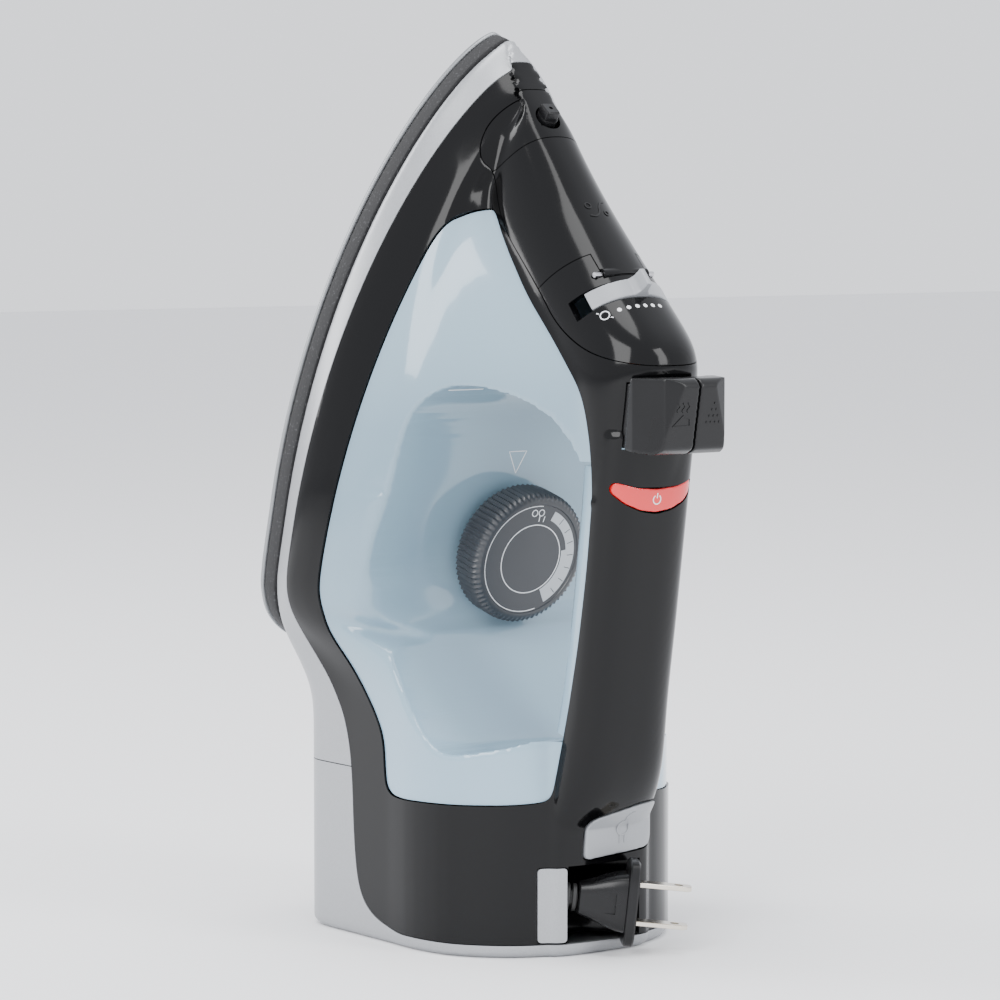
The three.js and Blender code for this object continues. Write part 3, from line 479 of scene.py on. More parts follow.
def finger_outline(grow):
    """Finger opening in the side view; grow widens it all round."""
    def shelf(z):
        return level_x(z, SHELF)

    corners = [(shelf(178), 178), (shelf(150), 150), (shelf(122), 122), (2.5, 104), (10, 88),
               (19, 76), (29, 67.5), (42, 68.5), (54, 74), (62, 90), (68, 120), (71, 148),
               (67, 164), (58, 176), (44, 183), (26, 185)]
    mid = np.array((36, 126.0))
    out = []
    for corner in corners:
        away = np.array(corner, float) - mid
        out.append(mid + away * (1 + grow / np.linalg.norm(away)))
    return spline(out, 160)


def outer_form(inset):
    """The whole outer form, drawn in by inset."""
    return join(cut(body_loft(inset), side_prism(finger_outline(inset))), handle_loft(inset))


def dark_region(shift):
    """The dark housing in the side view, from the nose down to the heel's rim."""
    h = BAND + shift
    return filleted([
        (level_x(330, h), 330), (level_x(124, h), 124), (level_x(112, h) + 0.8, 112),
        (-34.5 + shift, 96), (-26.5 + shift, 82), (-20.5 + shift, 72), (-17 + shift, 58),
        (-15.8 + shift, 30), (-13 + shift, 15.5), (-5.5 + shift, 8.5 + shift),
        (8, 5 + shift), (14, 4.6 + shift), (200, 4.6 + shift), (200, 330)], 14)


def tank_region(s):
    """The tank's edge in the side view, drawn in by s."""
    h = FRAME + s
    return filleted([
        (20, 246 - 2 * s), (level_x(238, h), 238), (level_x(126, h), 126),
        (level_x(114, h), 114), (-20 + s, 101), (-12.5 + s, 87), (-3 + s, 75), (0.8 + s, 68),
        (1.6 + s, 56), (3 + s, 51.5 + s), (8 + s, 49.3 + s), (52, 50.2 + s), (55 - s, 52 + s),
        (57 - s, 60), (62.6 - s, 87), (66.8 - s, 105), (71 - s, 129), (74 - s, 154),
        (73.6 - s, 170), (71.5 - s, 184), (65.5 - s, 193 - s), (54.5 - s, 205 - s),
        (43.5 - s, 216 - s), (28 - s, 234 - s)], 9)


def head_region(shift):
    """The snout's covers in the side view."""
    return filleted([
        (24 + shift, 291), (18 + shift, 281), (14.5 + shift, 269), (18.5 + shift, 256),
        (27 + shift, 238), (50 + shift, 217 + shift), (58 + shift, 207.5 + shift),
        (70 + shift, 200 + shift), (82, 196 + shift), (100, 193 + shift), (140, 200),
        (100, 291)], 10)


def above_level(h):
    """Everything beyond the plane h over the ironing face."""
    return side_prism([(level_x(-60, h), -60), (400, -60), (400, 400), (level_x(400, h), 400)])


def leaned(h, y, p):
    """The place h over the ironing face and p along it."""
    return Vector((SOLE_X0 + h * COS + p * SIN, y, -h * SIN + p * COS))


SLOPE = Vector((0.662, 0, -0.7495))
SLOPE_OUT = Vector((0.7495, 0, 0.662))
SLOPE_START = Vector((31.5, 0, 267))


def on_slope(d, out, y=0.0):
    """The place d down the snout's slope and out from it."""
    return SLOPE_START + SLOPE * d + SLOPE_OUT * out + Vector((0, y, 0))


def slope_region(d0, d1, below=-60):
    """Cuts square to the snout's slope, from d0 to d1 down it."""
    corners = [on_slope(d0, below), on_slope(d1, below), on_slope(d1, 60), on_slope(d0, 60)]
    return side_prism([(c.x, c.z) for c in corners])


FORMS = {}


def form(name):
    """A copy of one of the shared working forms."""
    if not FORMS:
        voxel = settings().form_voxel / MM
        FORMS["outer"] = remeshed(outer_form(0), voxel, 5)
        FORMS["inner"] = common(outer_form(WALL), side_prism(
            [(-100, -10), (200, -10), (200, 293), (-100, 263)]))
        FORMS["shell"] = cut(copy_of(FORMS["outer"]), FORMS["inner"], keep=True)
        FORMS["solid_nose"] = cut(copy_of(FORMS["outer"]), common(
            copy_of(FORMS["inner"]), box(-150, 200, -90, 90, -10, 236)))
    return copy_of(FORMS[name])


def clear_forms():
    """Removes the shared working forms."""
    discard(*FORMS.values())
    FORMS.clear()


# ---------- materials ----------
class Value:
    """A number socket whose arithmetic adds Math nodes."""

    def __init__(self, shader, socket):
        self.shader = shader
        self.socket = socket

    def _math(self, operation, a, b):
        node = self.shader.node("ShaderNodeMath", {"operation": operation}, {0: a, 1: b})
        return Value(self.shader, node.outputs[0])

    def __add__(self, other):
        return self._math("ADD", self, other)

    __radd__ = __add__

    def __mul__(self, other):
        return self._math("MULTIPLY", self, other)

    __rmul__ = __mul__

    def __sub__(self, other):
        return self._math("SUBTRACT", self, other)

    def __rsub__(self, other):
        return self._math("SUBTRACT", other, self)


class Shader:
    """A material's node tree with one principled shader."""

    def __init__(self, name, **sockets):
        self.name = name
        self.material = bpy.data.materials.new(name)
        self.material.use_nodes = True
        self.tree = self.material.node_tree
        self.principled = self.tree.nodes["Principled BSDF"]
        for key, value in sockets.items():
            self.feed(key.replace("_", " "), value)

    def feed(self, key, value):
        """Sets or links an input of the principled shader."""
        self._put(self.principled.inputs[key], value)

    def _put(self, socket, value):
        if isinstance(value, Value):
            self.tree.links.new(value.socket, socket)
        elif isinstance(value, bpy.types.NodeSocket):
            self.tree.links.new(value, socket)
        elif socket.type == "RGBA":
            socket.default_value = (*value[:3], 1)
        else:
            socket.default_value = value

    def node(self, kind, options, sockets):
        """A node with its options set first and then its sockets fed."""
        made = self.tree.nodes.new(kind)
        for key, value in options.items():
            if key == "stops":
                ramp = made.color_ramp
                while len(ramp.elements) < len(value):
                    ramp.elements.new(0.5)
                for element, (place, colour) in zip(ramp.elements, value):
                    element.position = place
                    element.color = (*colour, 1)
            else:
                setattr(made, key, value)
        for key, value in sockets.items():
            self._put(made.inputs[key], value)
        return made

    def place(self):
        """Object coordinates."""
        return self.node("ShaderNodeTexCoord", {}, {}).outputs["Object"]

    def axis(self, index):
        """One object coordinate, in metres."""
        node = self.node("ShaderNodeSeparateXYZ", {}, {0: self.place()})
        return Value(self, node.outputs[index])

    def noise(self, scale, detail=2.0, rough=0.5):
        """Fractal noise from 0 to 1."""
        node = self.node("ShaderNodeTexNoise", {}, {
            "Vector": self.place(), "Scale": scale, "Detail": detail, "Roughness": rough})
        return Value(self, node.outputs["Fac"])

    def ramp(self, value, stops):
        """Colours spread along a value."""
        node = self.node("ShaderNodeValToRGB", {"stops": stops}, {0: value})
        return node.outputs["Color"]

    def spread(self, value, low, high, to_low=0.0, to_high=1.0):
        """A value mapped from one range onto another, held at its ends."""
        node = self.node("ShaderNodeMapRange", {"clamp": True}, {
            0: value, 1: low, 2: high, 3: to_low, 4: to_high})
        return Value(self, node.outputs[0])

    def blend(self, factor, a, b):
        """Colour b over colour a."""
        node = self.node("ShaderNodeMix", {"data_type": "RGBA"}, {0: factor, 6: a, 7: b})
        return node.outputs[2]

    def bump(self, height, strength, distance):
        """Feeds the normal with a bump."""
        node = self.node("ShaderNodeBump", {}, {
            "Strength": strength, "Distance": distance, "Height": height})
        self.feed("Normal", node.outputs[0])


MATERIALS = {}
UNEVEN = 0.12


def plain(name, colour, roughness, metallic=0.0, **extra):
    """A finish of one colour with a slightly uneven gloss."""
    shader = Shader(name, Base_Color=colour, Metallic=metallic, **extra)
    low, high = roughness * (1 - UNEVEN), roughness * (1 + UNEVEN)
    shader.feed("Roughness", shader.spread(shader.noise(60), 0.3, 0.7, low, high))
    return shader


# name, colour, roughness and, for a metal, how metallic
PLAIN_FINISHES = (
    ("dial_grey", (0.035, 0.038, 0.043), 0.34),
    ("light_grey", (0.27, 0.28, 0.295), 0.34),
    ("nickel", (0.72, 0.67, 0.58), 0.18, 1.0),
    ("steel", (0.5, 0.5, 0.52), 0.32, 1.0),
    ("rubber", (0.012, 0.012, 0.012), 0.6),
    ("silicone", (0.5, 0.13, 0.04), 0.6),
    ("circuit_board", (0.02, 0.16, 0.06), 0.45),
    ("white_plastic", (0.72, 0.72, 0.69), 0.4),
    ("cord_sheath", (0.015, 0.015, 0.016), 0.5),
    ("print_white", (0.75, 0.76, 0.77), 0.5),
    ("print_dark", (0.02, 0.025, 0.03), 0.5),
    ("sector_grey", (0.42, 0.44, 0.46), 0.45),
)


def make_materials():
    """Every slot's material, by slot name."""
    look = settings()
    gloss = plain("gloss_black", tuple(look.housing_colour), 0.10, Specular_IOR_Level=0.24)
    satin = plain("satin_black", (0.005, 0.005, 0.0055), 0.3, Specular_IOR_Level=0.3)
    satin.bump(satin.noise(900, 3), 0.12, 0.00005)
    speckled = Shader("speckled_black", Roughness=0.7)
    grain = speckled.noise(1400, 3)
    speckled.feed("Base Color", speckled.ramp(grain, [
        (0.0, (0.004, 0.004, 0.005)), (0.6, (0.008, 0.008, 0.009)), (0.74, (0.06, 0.06, 0.065))]))
    speckled.bump(grain, 0.4, 0.0002)
    silver = Shader("silver_plastic", Metallic=0.5)
    flake = silver.noise(2600, 2)
    colour = tuple(look.silver_colour)
    silver.feed("Base Color", silver.blend(
        silver.spread(flake, 0.35, 0.65), tuple(c * 0.9 for c in colour), colour))
    silver.feed("Roughness", silver.spread(flake, 0.3, 0.7, 0.30, 0.40))
    tank = Shader("tank_blue", Coat_Weight=0.6, Coat_Roughness=0.04, IOR=1.46)
    base = tuple(look.tank_colour)
    cloud = tank.noise(9, 1)
    milky_and_painted_light = tank.blend(tank.spread(cloud, 0.35, 0.68), base, (0.30, 0.41, 0.49))
    # Painted light: the tank turns a lighter blue towards its bottom; the cloud noise above is the
    # plastic's own uneven milky tone
    painted_light_low = tank.spread(tank.axis(2), 0.055, 0.125, 1.0, 0.0)
    milky_and_painted_light = tank.blend(painted_light_low, milky_and_painted_light, (0.27, 0.40, 0.50))
    tank.feed("Base Color", milky_and_painted_light)
    tank.feed("Roughness", tank.spread(cloud, 0.3, 0.7, 0.10, 0.18))
    # The power key's faint red emission is a painted glow; the key holds no lit lamp
    red = plain("red_clear", tuple(look.power_key_colour), 0.12, Coat_Weight=0.5,
                Emission_Color=(0.7, 0.02, 0.02), Emission_Strength=0.12)
    sole = Shader("sole_metal", Metallic=1.0, Base_Color=(0.30, 0.31, 0.32))
    brushed = sole.noise(420, 4, 0.7)
    sole.feed("Roughness", sole.spread(brushed, 0.3, 0.7, 0.34, 0.5))
    made = [gloss, satin, speckled, silver, tank, red, sole]
    made += [plain(name, *finish) for name, *finish in PLAIN_FINISHES]
    MATERIALS.update({shader.name: shader.material for shader in made})


# ---------- finishing a piece ----------
def finished(item, name, slot, body, nodes=(), limit=32, paint=None):
    """Names, places, shades and paints a piece, and ties it to its CAD body."""
    item.name = name
    item.data.name = name
    work = bmesh.new()
    work.from_mesh(item.data)
    bmesh.ops.remove_doubles(work, verts=work.verts, dist=0.004)
    bmesh.ops.dissolve_degenerate(work, edges=work.edges, dist=0.004)
    for face in work.faces:
        face.smooth = True
    cosine = math.radians(limit)
    for edge in work.edges:
        if len(edge.link_faces) == 2:
            edge.smooth = edge.calc_face_angle(math.pi) < cosine
    work.to_mesh(item.data)
    work.free()
    item.data.transform(TO_ROW)
    item.data.materials.clear()
    item.data.materials.append(MATERIALS[paint or slot])
    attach(item, body)
    if nodes:
        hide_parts(*nodes)
    return item


def surface_of(*items):
    """A tree for casting rays on finished pieces, in metres."""
    vertices, faces = [], []
    for item in items:
        start = len(vertices)
        vertices += [v.co.copy() for v in item.data.vertices]
        faces += [[start + i for i in p.vertices] for p in item.data.polygons]
    return BVHTree.FromPolygons(vertices, faces)


def drop(tree, start, direction):
    """Where a ray meets the surface, in metres, with its normal; drawing coordinates in."""
    where, normal, _, _ = tree.ray_cast(TO_ROW @ Vector(start), Vector(direction).normalized())
    if where is None:
        raise RuntimeError(f"nothing to print on from {tuple(start)}")
    if normal.dot(Vector(direction)) > 0:
        normal = -normal
    return where, normal


def printed(name, tree, strokes, direction, body, paint="print_white", height=None):
    """Flat marks laid on a surface: each stroke is (points, width), in drawing coordinates."""
    height = settings().print_height if height is None else height
    vertices, faces = [], []
    for points, width in strokes:
        hits = [drop(tree, p, direction) for p in points]
        closed = (Vector(points[0]) - Vector(points[-1])).length < 1e-6
        start = len(vertices)
        for i, (where, normal) in enumerate(hits):
            if closed:
                before, after = hits[i - 1 if i else -2][0], hits[(i + 1) % len(hits)][0]
                if i == len(hits) - 1:
                    after = hits[1][0]
            else:
                before, after = hits[max(0, i - 1)][0], hits[min(len(hits) - 1, i + 1)][0]
            side = normal.cross(after - before).normalized() * (width * MM / 2)
            lift = where + normal * height
            low = where - normal * 0.0002
            vertices += [lift - side, lift + side, low + side, low - side]
        for i in range(len(hits) - 1):
            a, b = start + 4 * i, start + 4 * (i + 1)
            faces += [(a + j, a + (j + 1) % 4, b + (j + 1) % 4, b + j) for j in range(4)]
        if not closed:
            last = start + 4 * (len(hits) - 1)
            faces += [[start + j for j in (3, 2, 1, 0)], [last + j for j in range(4)]]
    item = outward(new_object(name, vertices, faces))
    item.data.materials.append(MATERIALS[paint])
    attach(item, body)
    return item


def ring_points(centre, radius, side, up, start=0, end=360, count=48):
    """Points on a circle about a centre, in the plane of side and up."""
    centre, side, up = Vector(centre), Vector(side), Vector(up)
    out = []
    for i in range(count + 1):
        a = math.radians(mix(start, end, i / count))
        out.append(centre + side * math.cos(a) * radius + up * math.sin(a) * radius)
    return out


def disc_strokes(centre, radius, side, up):
    """A filled disc as strokes."""
    return [(ring_points(centre, radius * 0.5, side, up, count=24), radius)]


# ---------- ironing face ----------
def sole_outline(inset):
    """Outline of the ironing face in (Y, along), drawn in by inset."""
    nose = NOSE - 1.3 * inset
    rear = SOLE_REAR + inset
    half = []
    for i in range(61):
        s = BOW_LENGTH * (i / 60) ** 1.9
        half.append((bow(s, SOLE_HALF - inset), nose - s))
    wide = SOLE_HALF - inset
    back = [half[-1], (wide - 0.3, rear + 27), (wide - 1.2, rear + 20), (wide - 4.5, rear + 12),
            (wide - 10, rear + 6), (wide - 18, rear + 1.6), (wide - 28, rear), (0, rear)]
    half += [tuple(p) for p in spline(back, 60, closed=False)[1:]]
    return half + [(-y, p) for y, p in half[-2:0:-1]]


def plate(levels, name):
    """Solid through ironing face outlines: the levels list (height, inset)."""
    return lofted([[leaned(h, y, p) for y, p in sole_outline(inset)] for h, inset in levels], name)


class IRON_OT_soleplate(bpy.types.Operator):
    """Ironing face with its steam holes, and the speckled skirt behind it"""

    bl_idname = "iron.soleplate"
    bl_label = "Ironing face"

    def execute(self, context):
        sole = plate([(0, 2.2), (0.15, 1.5), (0.5, 0.9), (1.1, 0.35), (1.8, 0.05), (2.5, 0),
                      (2.85, 0.12), (SOLE, 0.4)], "sole")
        for side in (-1, 1):
            for i in range(5):
                y, p = side * (20 + 4.5 * i), 250 - 30 * i
                cut(sole, rod(leaned(-2, y, p), leaned(6, y, p), 1.6, 24))
        finished(sole, "sole_face", "sole_metal", "iron_body", ["soleplate"])
        skirt = plate([(SOLE + GAP, 1.2), (SOLE + GAP, 0.7), (3.8, 0.45), (5, 0.4), (8.6, 0.4),
                       (9.3, 0.6), (SKIRT - GAP, 1.2)], "skirt")
        cut(skirt, plate([(0, 9), (12, 9)], "hollow"))
        finished(skirt, "heat_skirt_look", "speckled_black", "iron_body", ["heat_skirt"])
        return {"FINISHED"}


# ---------- mouldings ----------
class IRON_OT_silver(bpy.types.Operator):
    """Silver band behind the skirt, and the heel below it"""

    bl_idname = "iron.silver"
    bl_label = "Band and heel"

    def execute(self, context):
        light = cut(form("shell"), side_prism(dark_region(-GAP)))
        trim = common(copy_of(light), box(-150, 200, -90, 90, HEEL_SEAM + GAP / 2, 330))
        cut(trim, rod(leaned(5, 0, VALVE_ALONG), leaned(120, 0, VALVE_ALONG), 3.6))
        finished(trim, "band", "silver_plastic", "iron_body", ["skirt_trim"])
        heel = common(light, box(-150, 200, -90, 90, -5, HEEL_SEAM - GAP / 2))
        finished(heel, "heel", "silver_plastic", "iron_body", ["heel_cover"])
        return {"FINISHED"}


RECESS = [(45, -15), (90, -15), (90, 40), (57, 14), (50, 9), (45, 0)]
OUTLET = (-24, -15.3, 5, 29.4)
REWIND_OUTLINE = [(-9.2, 31.6), (17.4, 33.6), (19.5, 36), (19.5, 47.6), (17, 49.6), (9, 49),
                  (-7, 45.4), (-9, 43)]
CRESCENT = [(-16, 153.5), (-12, 150), (-6, 147.6), (0, 146.8), (6, 147.6), (12, 150),
            (16, 153.5), (15.6, 157), (8, 154.9), (0, 154.2), (-8, 154.9), (-15.6, 157)]


def grown(outline, by):
    """The outline pushed out from its middle."""
    pts = np.array(outline, float)
    away = pts - pts.mean(0)
    return [tuple(p) for p in pts + away / np.linalg.norm(away, axis=1)[:, None] * by]


def outlet_prism(room, x0):
    """The cord outlet's strip along X, with room round it."""
    y0, y1, z0, z1 = OUTLET
    corners = [(y0 - room, z0 - room), (y1 + room, z0 - room), (y1 + room, z1 + room),
               (y0 - room, z1 + room)]
    return rear_prism(filleted(corners, 1.4), x0, 90)


def recess_block():
    """The moulded block round the plug's recess."""
    outline = [(42.6, -26), (90, -26), (90, 16), (56, 16), (48, 11), (42.6, 1)]
    return floor_prism(outline, 5, 32)


class IRON_OT_housing(bpy.types.Operator):
    """Glossy housing with the top of the handle and the plug's recess"""

    bl_idname = "iron.housing"
    bl_label = "Housing"

    def execute(self, context):
        housing = common(form("solid_nose"), side_prism(dark_region(0)))
        cut(housing, side_prism(tank_region(0)), side_prism(head_region(-GAP)),
            rear_prism(filleted(grown(REWIND_OUTLINE, 1.0), 3), 40, 90),
            rear_prism(filleted(grown(CRESCENT, 0.7), 2), 74.6, 100),
            box(80, 120, -14.5, 14.5, 167.5, 189))
        block = common(form("outer"), recess_block())
        join(housing, block)
        cut(housing, floor_prism(RECESS, 4, 30), box(38, 51.2, -18.2, -11, 16, 24),
            rear_prism(filleted(grown(REWIND_OUTLINE, 1.0), 3), 40, 90),
            outlet_prism(0.4, 51))
        finished(housing, "housing", "gloss_black", "iron_body", ["main_housing"])
        return {"FINISHED"}


class IRON_OT_tank(bpy.types.Operator):
    """Translucent water tank and the strip along the underside of the handle"""

    bl_idname = "iron.tank"
    bl_label = "Water tank"

    def execute(self, context):
        wall = common(remeshed(outer_form(0.7), settings().form_voxel / MM, 4),
                      side_prism(tank_region(GAP)), above_level(25))
        space = common(outer_form(3), side_prism(tank_region(3)), above_level(27.4))
        cut(space, side_prism(finger_outline(3)))
        cut(wall, space, side_prism(finger_outline(0.7)),
            side_prism([(43, 71), (64, 71), (90, 100), (90, 163), (58.6, 163), (50, 100)]),
            box(57, 95, -16, 16, 163, 192),
            rod(leaned(5, 0, DIAL_ALONG), leaned(60, 0, DIAL_ALONG), 4.2),
            rod(leaned(5, 0, VALVE_ALONG), leaned(120, 0, VALVE_ALONG), 3.6),
            rod((26, 0, 206), (60, 0, 239), 6.5))
        finished(wall, "tank", "tank_blue", "iron_body", ["water_tank"])
        strip = common(handle_loft(0.7), side_prism(tank_region(GAP)),
                       side_prism([(44, 76), (60, 73), (90, 100), (90, 161.5), (58, 161.5),
                                   (48, 100)]))
        cut(strip, handle_loft(3))
        finished(strip, "handle_under", "tank_blue", "iron_body", ["handle_lower_shell"])
        return {"FINISHED"}


DOOR_START, DOOR_END, DOOR_TONGUE, DOOR_HALF = 0.3, 48, 58, 9
SLIDER_D, SLIDER_LENGTH, SLIDER_RADIUS, SLIDER_SWEEP = 61.5, 6.5, 20.5, 50


class IRON_OT_snout(bpy.types.Operator):
    """Nozzle cap, fill door, head cover and the spray nozzle"""

    bl_idname = "iron.snout"
    bl_label = "Snout"

    def execute(self, context):
        snout = common(form("shell"), side_prism(head_region(0)))
        cap = common(form("outer"), side_prism(head_region(0)), slope_region(-60, 0))
        cut(cap, side_prism([(-10, 240), (33, 240), (28.6, 262), (22, 271.6), (16, 275),
                             (-10, 275.5)], 8), rod((16, 0, 260), (40, 0, 290), 4.6))
        finished(cap, "snout_cap", "gloss_black", "iron_body", ["nozzle_cap"])
        tongue = common(copy_of(snout), slope_region(DOOR_END - 1, DOOR_TONGUE),
                        box(0, 200, -DOOR_HALF, DOOR_HALF, 150, 300))
        door = common(copy_of(snout), slope_region(DOOR_START, DOOR_END))
        low = on_slope(DOOR_TONGUE - 1.2, -2.9, -DOOR_HALF)
        high = on_slope(DOOR_TONGUE - 1.2, -2.9, DOOR_HALF)
        join(door, tongue, rod(low, high, 2, 32))
        reach = Vector((0, 5, 0))
        cut(door, rod(low - reach, high + reach, 1.25, 32))
        finished(door, "door", "gloss_black", "door", ["fill_door"])
        slot_depth = SLIDER_RADIUS * (1 - math.cos(math.radians(SLIDER_SWEEP + 16)))
        tongue_cut = common(slope_region(DOOR_END - 1, DOOR_TONGUE + 0.8),
                            box(0, 200, -DOOR_HALF - GAP, DOOR_HALF + GAP, 150, 300))
        cover = common(snout, slope_region(DOOR_END + GAP, 120))
        cut(cover, tongue_cut, slope_region(
            SLIDER_D - 0.6, SLIDER_D + SLIDER_LENGTH + 0.6, -slot_depth),
            rod(low - reach, high + reach, 1.25, 32))
        finished(cover, "head", "gloss_black", "iron_body", ["head_cover"])
        axis = (Vector((27, 0, 275)) - Vector((17, 0, 262))).normalized()
        side, up = basis(axis)
        centre = Vector((27, 0, 275))
        rings = []
        for d, half in ((-2.4, 2.3), (-2.0, 2.6), (1.6, 2.6), (2.0, 2.3)):
            corners = [(half, half), (-half, half), (-half, -half), (half, -half)]
            rings.append([centre + axis * d + side * a + up * b
                          for a, b in filleted(corners, 0.6, 4)])
        nozzle = join(rod((17, 0, 262), (26.6, 0, 274), 3.6), lofted(rings))
        cut(nozzle, rod(centre + axis, centre + axis * 4, 0.7, 24))
        finished(nozzle, "nozzle", "satin_black", "iron_body", ["spray_nozzle"])
        return {"FINISHED"}


# ---------- controls ----------
class IRON_OT_slider(bpy.types.Operator):
    """Light grey steam slider across the head, with its fin"""

    bl_idname = "iron.slider"
    bl_label = "Steam slider"

    def execute(self, context):
        centre = on_slope(SLIDER_D, -SLIDER_RADIUS)
        sweep = math.radians(SLIDER_SWEEP)
        y_axis = Vector((0, 1, 0))

        def flat(r, a, d):
            return centre + SLOPE_OUT * r * math.cos(a) + y_axis * r * math.sin(a) + SLOPE * d

        rings = []
        for d in (0, SLIDER_LENGTH):
            outer = [flat(SLIDER_RADIUS + 0.8, mix(-sweep, sweep, i / 60), d) for i in range(61)]
            inner = [flat(SLIDER_RADIUS - 1.6, mix(sweep, -sweep, i / 60), d) for i in range(61)]
            rings.append(outer + inner)
        band = lofted(rings)
        fin = [(19.5, -4.2), (22.6, -1.5), (26.2, -0.9), (26.4, 0.0), (26.2, 0.9), (22.6, 1.5),
               (19.5, 4.2)]
        join(band, lofted([[centre + SLOPE_OUT * r + y_axis * y + SLOPE * d for r, y in fin]
                           for d in (0, SLIDER_LENGTH)]))
        remeshed(band, 0.3, 4)
        finished(band, "slider_look", "light_grey", "slider", ["steam_slider"])
        return {"FINISHED"}


PRESS = 2.5  # how far a button goes in
BUTTON_FACE = [(88.6, 167.5), (99.5, 166.2), (103, 168), (106.6, 188.6), (104.5, 190.6),
               (91.6, 190.6)]
BUTTON_PLAN = [(70, 0.4), (107.5, 0.4), (106.6, 6), (103.6, 12.2), (93, 16.8), (70, 17.5)]


class IRON_OT_buttons(bpy.types.Operator):
    """The two satin buttons over the pumps"""

    bl_idname = "iron.buttons"
    bl_label = "Steam and spray buttons"

    def execute(self, context):
        for side, node, body in ((-1, "steam_button", "shot_button"),
                                 (1, "spray_button", "mist_button")):
            block = floor_prism([(x, side * y) for x, y in BUTTON_PLAN], 160, 195)
            common(block, side_prism(filleted(BUTTON_FACE, 1.2)))
            pressed = outer_form(-0.5)
            pressed.data.transform(Matrix.Translation((PRESS + 0.3, 0, 0)))
            cut(block, outer_form(-0.5), pressed)
            near, far = sorted((side * 0.4, side * 14.1))
            join(block, box(83, 98, near, far, 167.9, 188.6))
            pump = side * PUMP_Y
            cut(block, rod((80, pump, PUMP_Z), (86.5, pump, PUMP_Z), 3))
            join(block, rod((84.5, pump, PUMP_Z), (96, pump, PUMP_Z), 2))
            remeshed(block, 0.4, 5)
            finished(block, f"{node}_look", "satin_black", body, [node])
        return {"FINISHED"}


class IRON_OT_power(bpy.types.Operator):
    """Red crescent power key in the handle"""

    bl_idname = "iron.power"
    bl_label = "Power key"

    def execute(self, context):
        key = common(outer_form(0.15), rear_prism(filleted(CRESCENT, 1.5), 75.6, 100))
        cut(key, outer_form(2.8))
        join(key, rod((79.6, 0, 151), (83.4, 0, 151), 2, 24))
        remeshed(key, 0.3, 3)
        key = finished(key, "power_key_look", "red_clear", "power_key", ["power_button"])
        tree = surface_of(key)
        front = Vector((110, 0, 150.9))
        side, up = Vector((0, 1, 0)), Vector((0, 0, 1))
        printed("power_mark", tree, [
            (ring_points(front, 1.5, side, up, 125, 415, 32), 0.35),
            ([front + up * 0.4, front + up * 2.1], 0.35)], (-1, 0, 0), "power_key")
        return {"FINISHED"}


class IRON_OT_dial(bpy.types.Operator):
    """Knurled temperature dial with plain printed rings and steps"""

    bl_idname = "iron.dial"
    bl_label = "Temperature dial"

    def execute(self, context):
        count = settings().knurls
        axis = Vector((COS, 0, -SIN))
        foot = leaned(DIAL_BASE, 0, DIAL_ALONG)
        height = DIAL_FACE - DIAL_BASE

        def knurl(radius, depth):
            return lambda a: radius - depth * (0.5 - 0.5 * math.cos(a * count)) ** 0.7

        profile = [(0.6, 3.4), (0.6, 21.0), (0.7, knurl(22.3, 0.4)), (1.4, knurl(23, 0.9)),
                   (height - 2.6, knurl(23, 0.9)), (height - 1.5, knurl(22.7, 0.8)),
                   (height - 0.6, knurl(21.7, 0.45)), (height - 0.15, 20.6), (height, 20.0),
                   (height, 19.3), (height - 0.35, 19.1), (height - 0.35, 3.0)]
        dial = turned(foot, foot + axis, profile, count * 8)
        cut(dial, rod(foot - axis, foot + axis * 8, 3.4))
        dial = finished(dial, "dial_look", "dial_grey", "dial", ["temperature_dial"], limit=50)
        tree = surface_of(dial)
        centre = leaned(DIAL_FACE + 6, 0, DIAL_ALONG)
        side, up = Vector((0, 1, 0)), Vector((SIN, 0, COS))
        down = -axis

        def arc(radius, start, end, width, count=60):
            return ring_points(centre, radius, side, up, start, end, count), width

        def ray(angle, r0, r1, width):
            a = math.radians(angle)
            away = side * math.cos(a) + up * math.sin(a)
            return [centre + away * r0, centre + away * r1], width

        printed("dial_sector", tree, [arc(16.2, -62, 66, 3.4), arc(13.6, -62, 10, 1.9)],
                down, "dial", "sector_grey")
        steps = [ray(-62 + 16 * i, 15.2, 17.6, 0.22) for i in range(1, 8)]
        printed("dial_steps", tree, steps, down, "dial", "print_dark", 0.1 * MM)
        printed("dial_rings", tree, [
            arc(12.0, 0, 360, 0.32, 90), arc(18.6, 84, 286, 0.28, 90),
            ray(78, 13.2, 15.2, 0.3), ray(86, 13.2, 15.2, 0.3),
            (ring_points(centre + up * 16.2 + side * 1.6, 1.1, side, up, count=24), 0.3),
            (ring_points(centre + up * 16.2 - side * 1.2, 1.1, side, up, count=24), 0.3)],
            down, "dial")
        return {"FINISHED"}


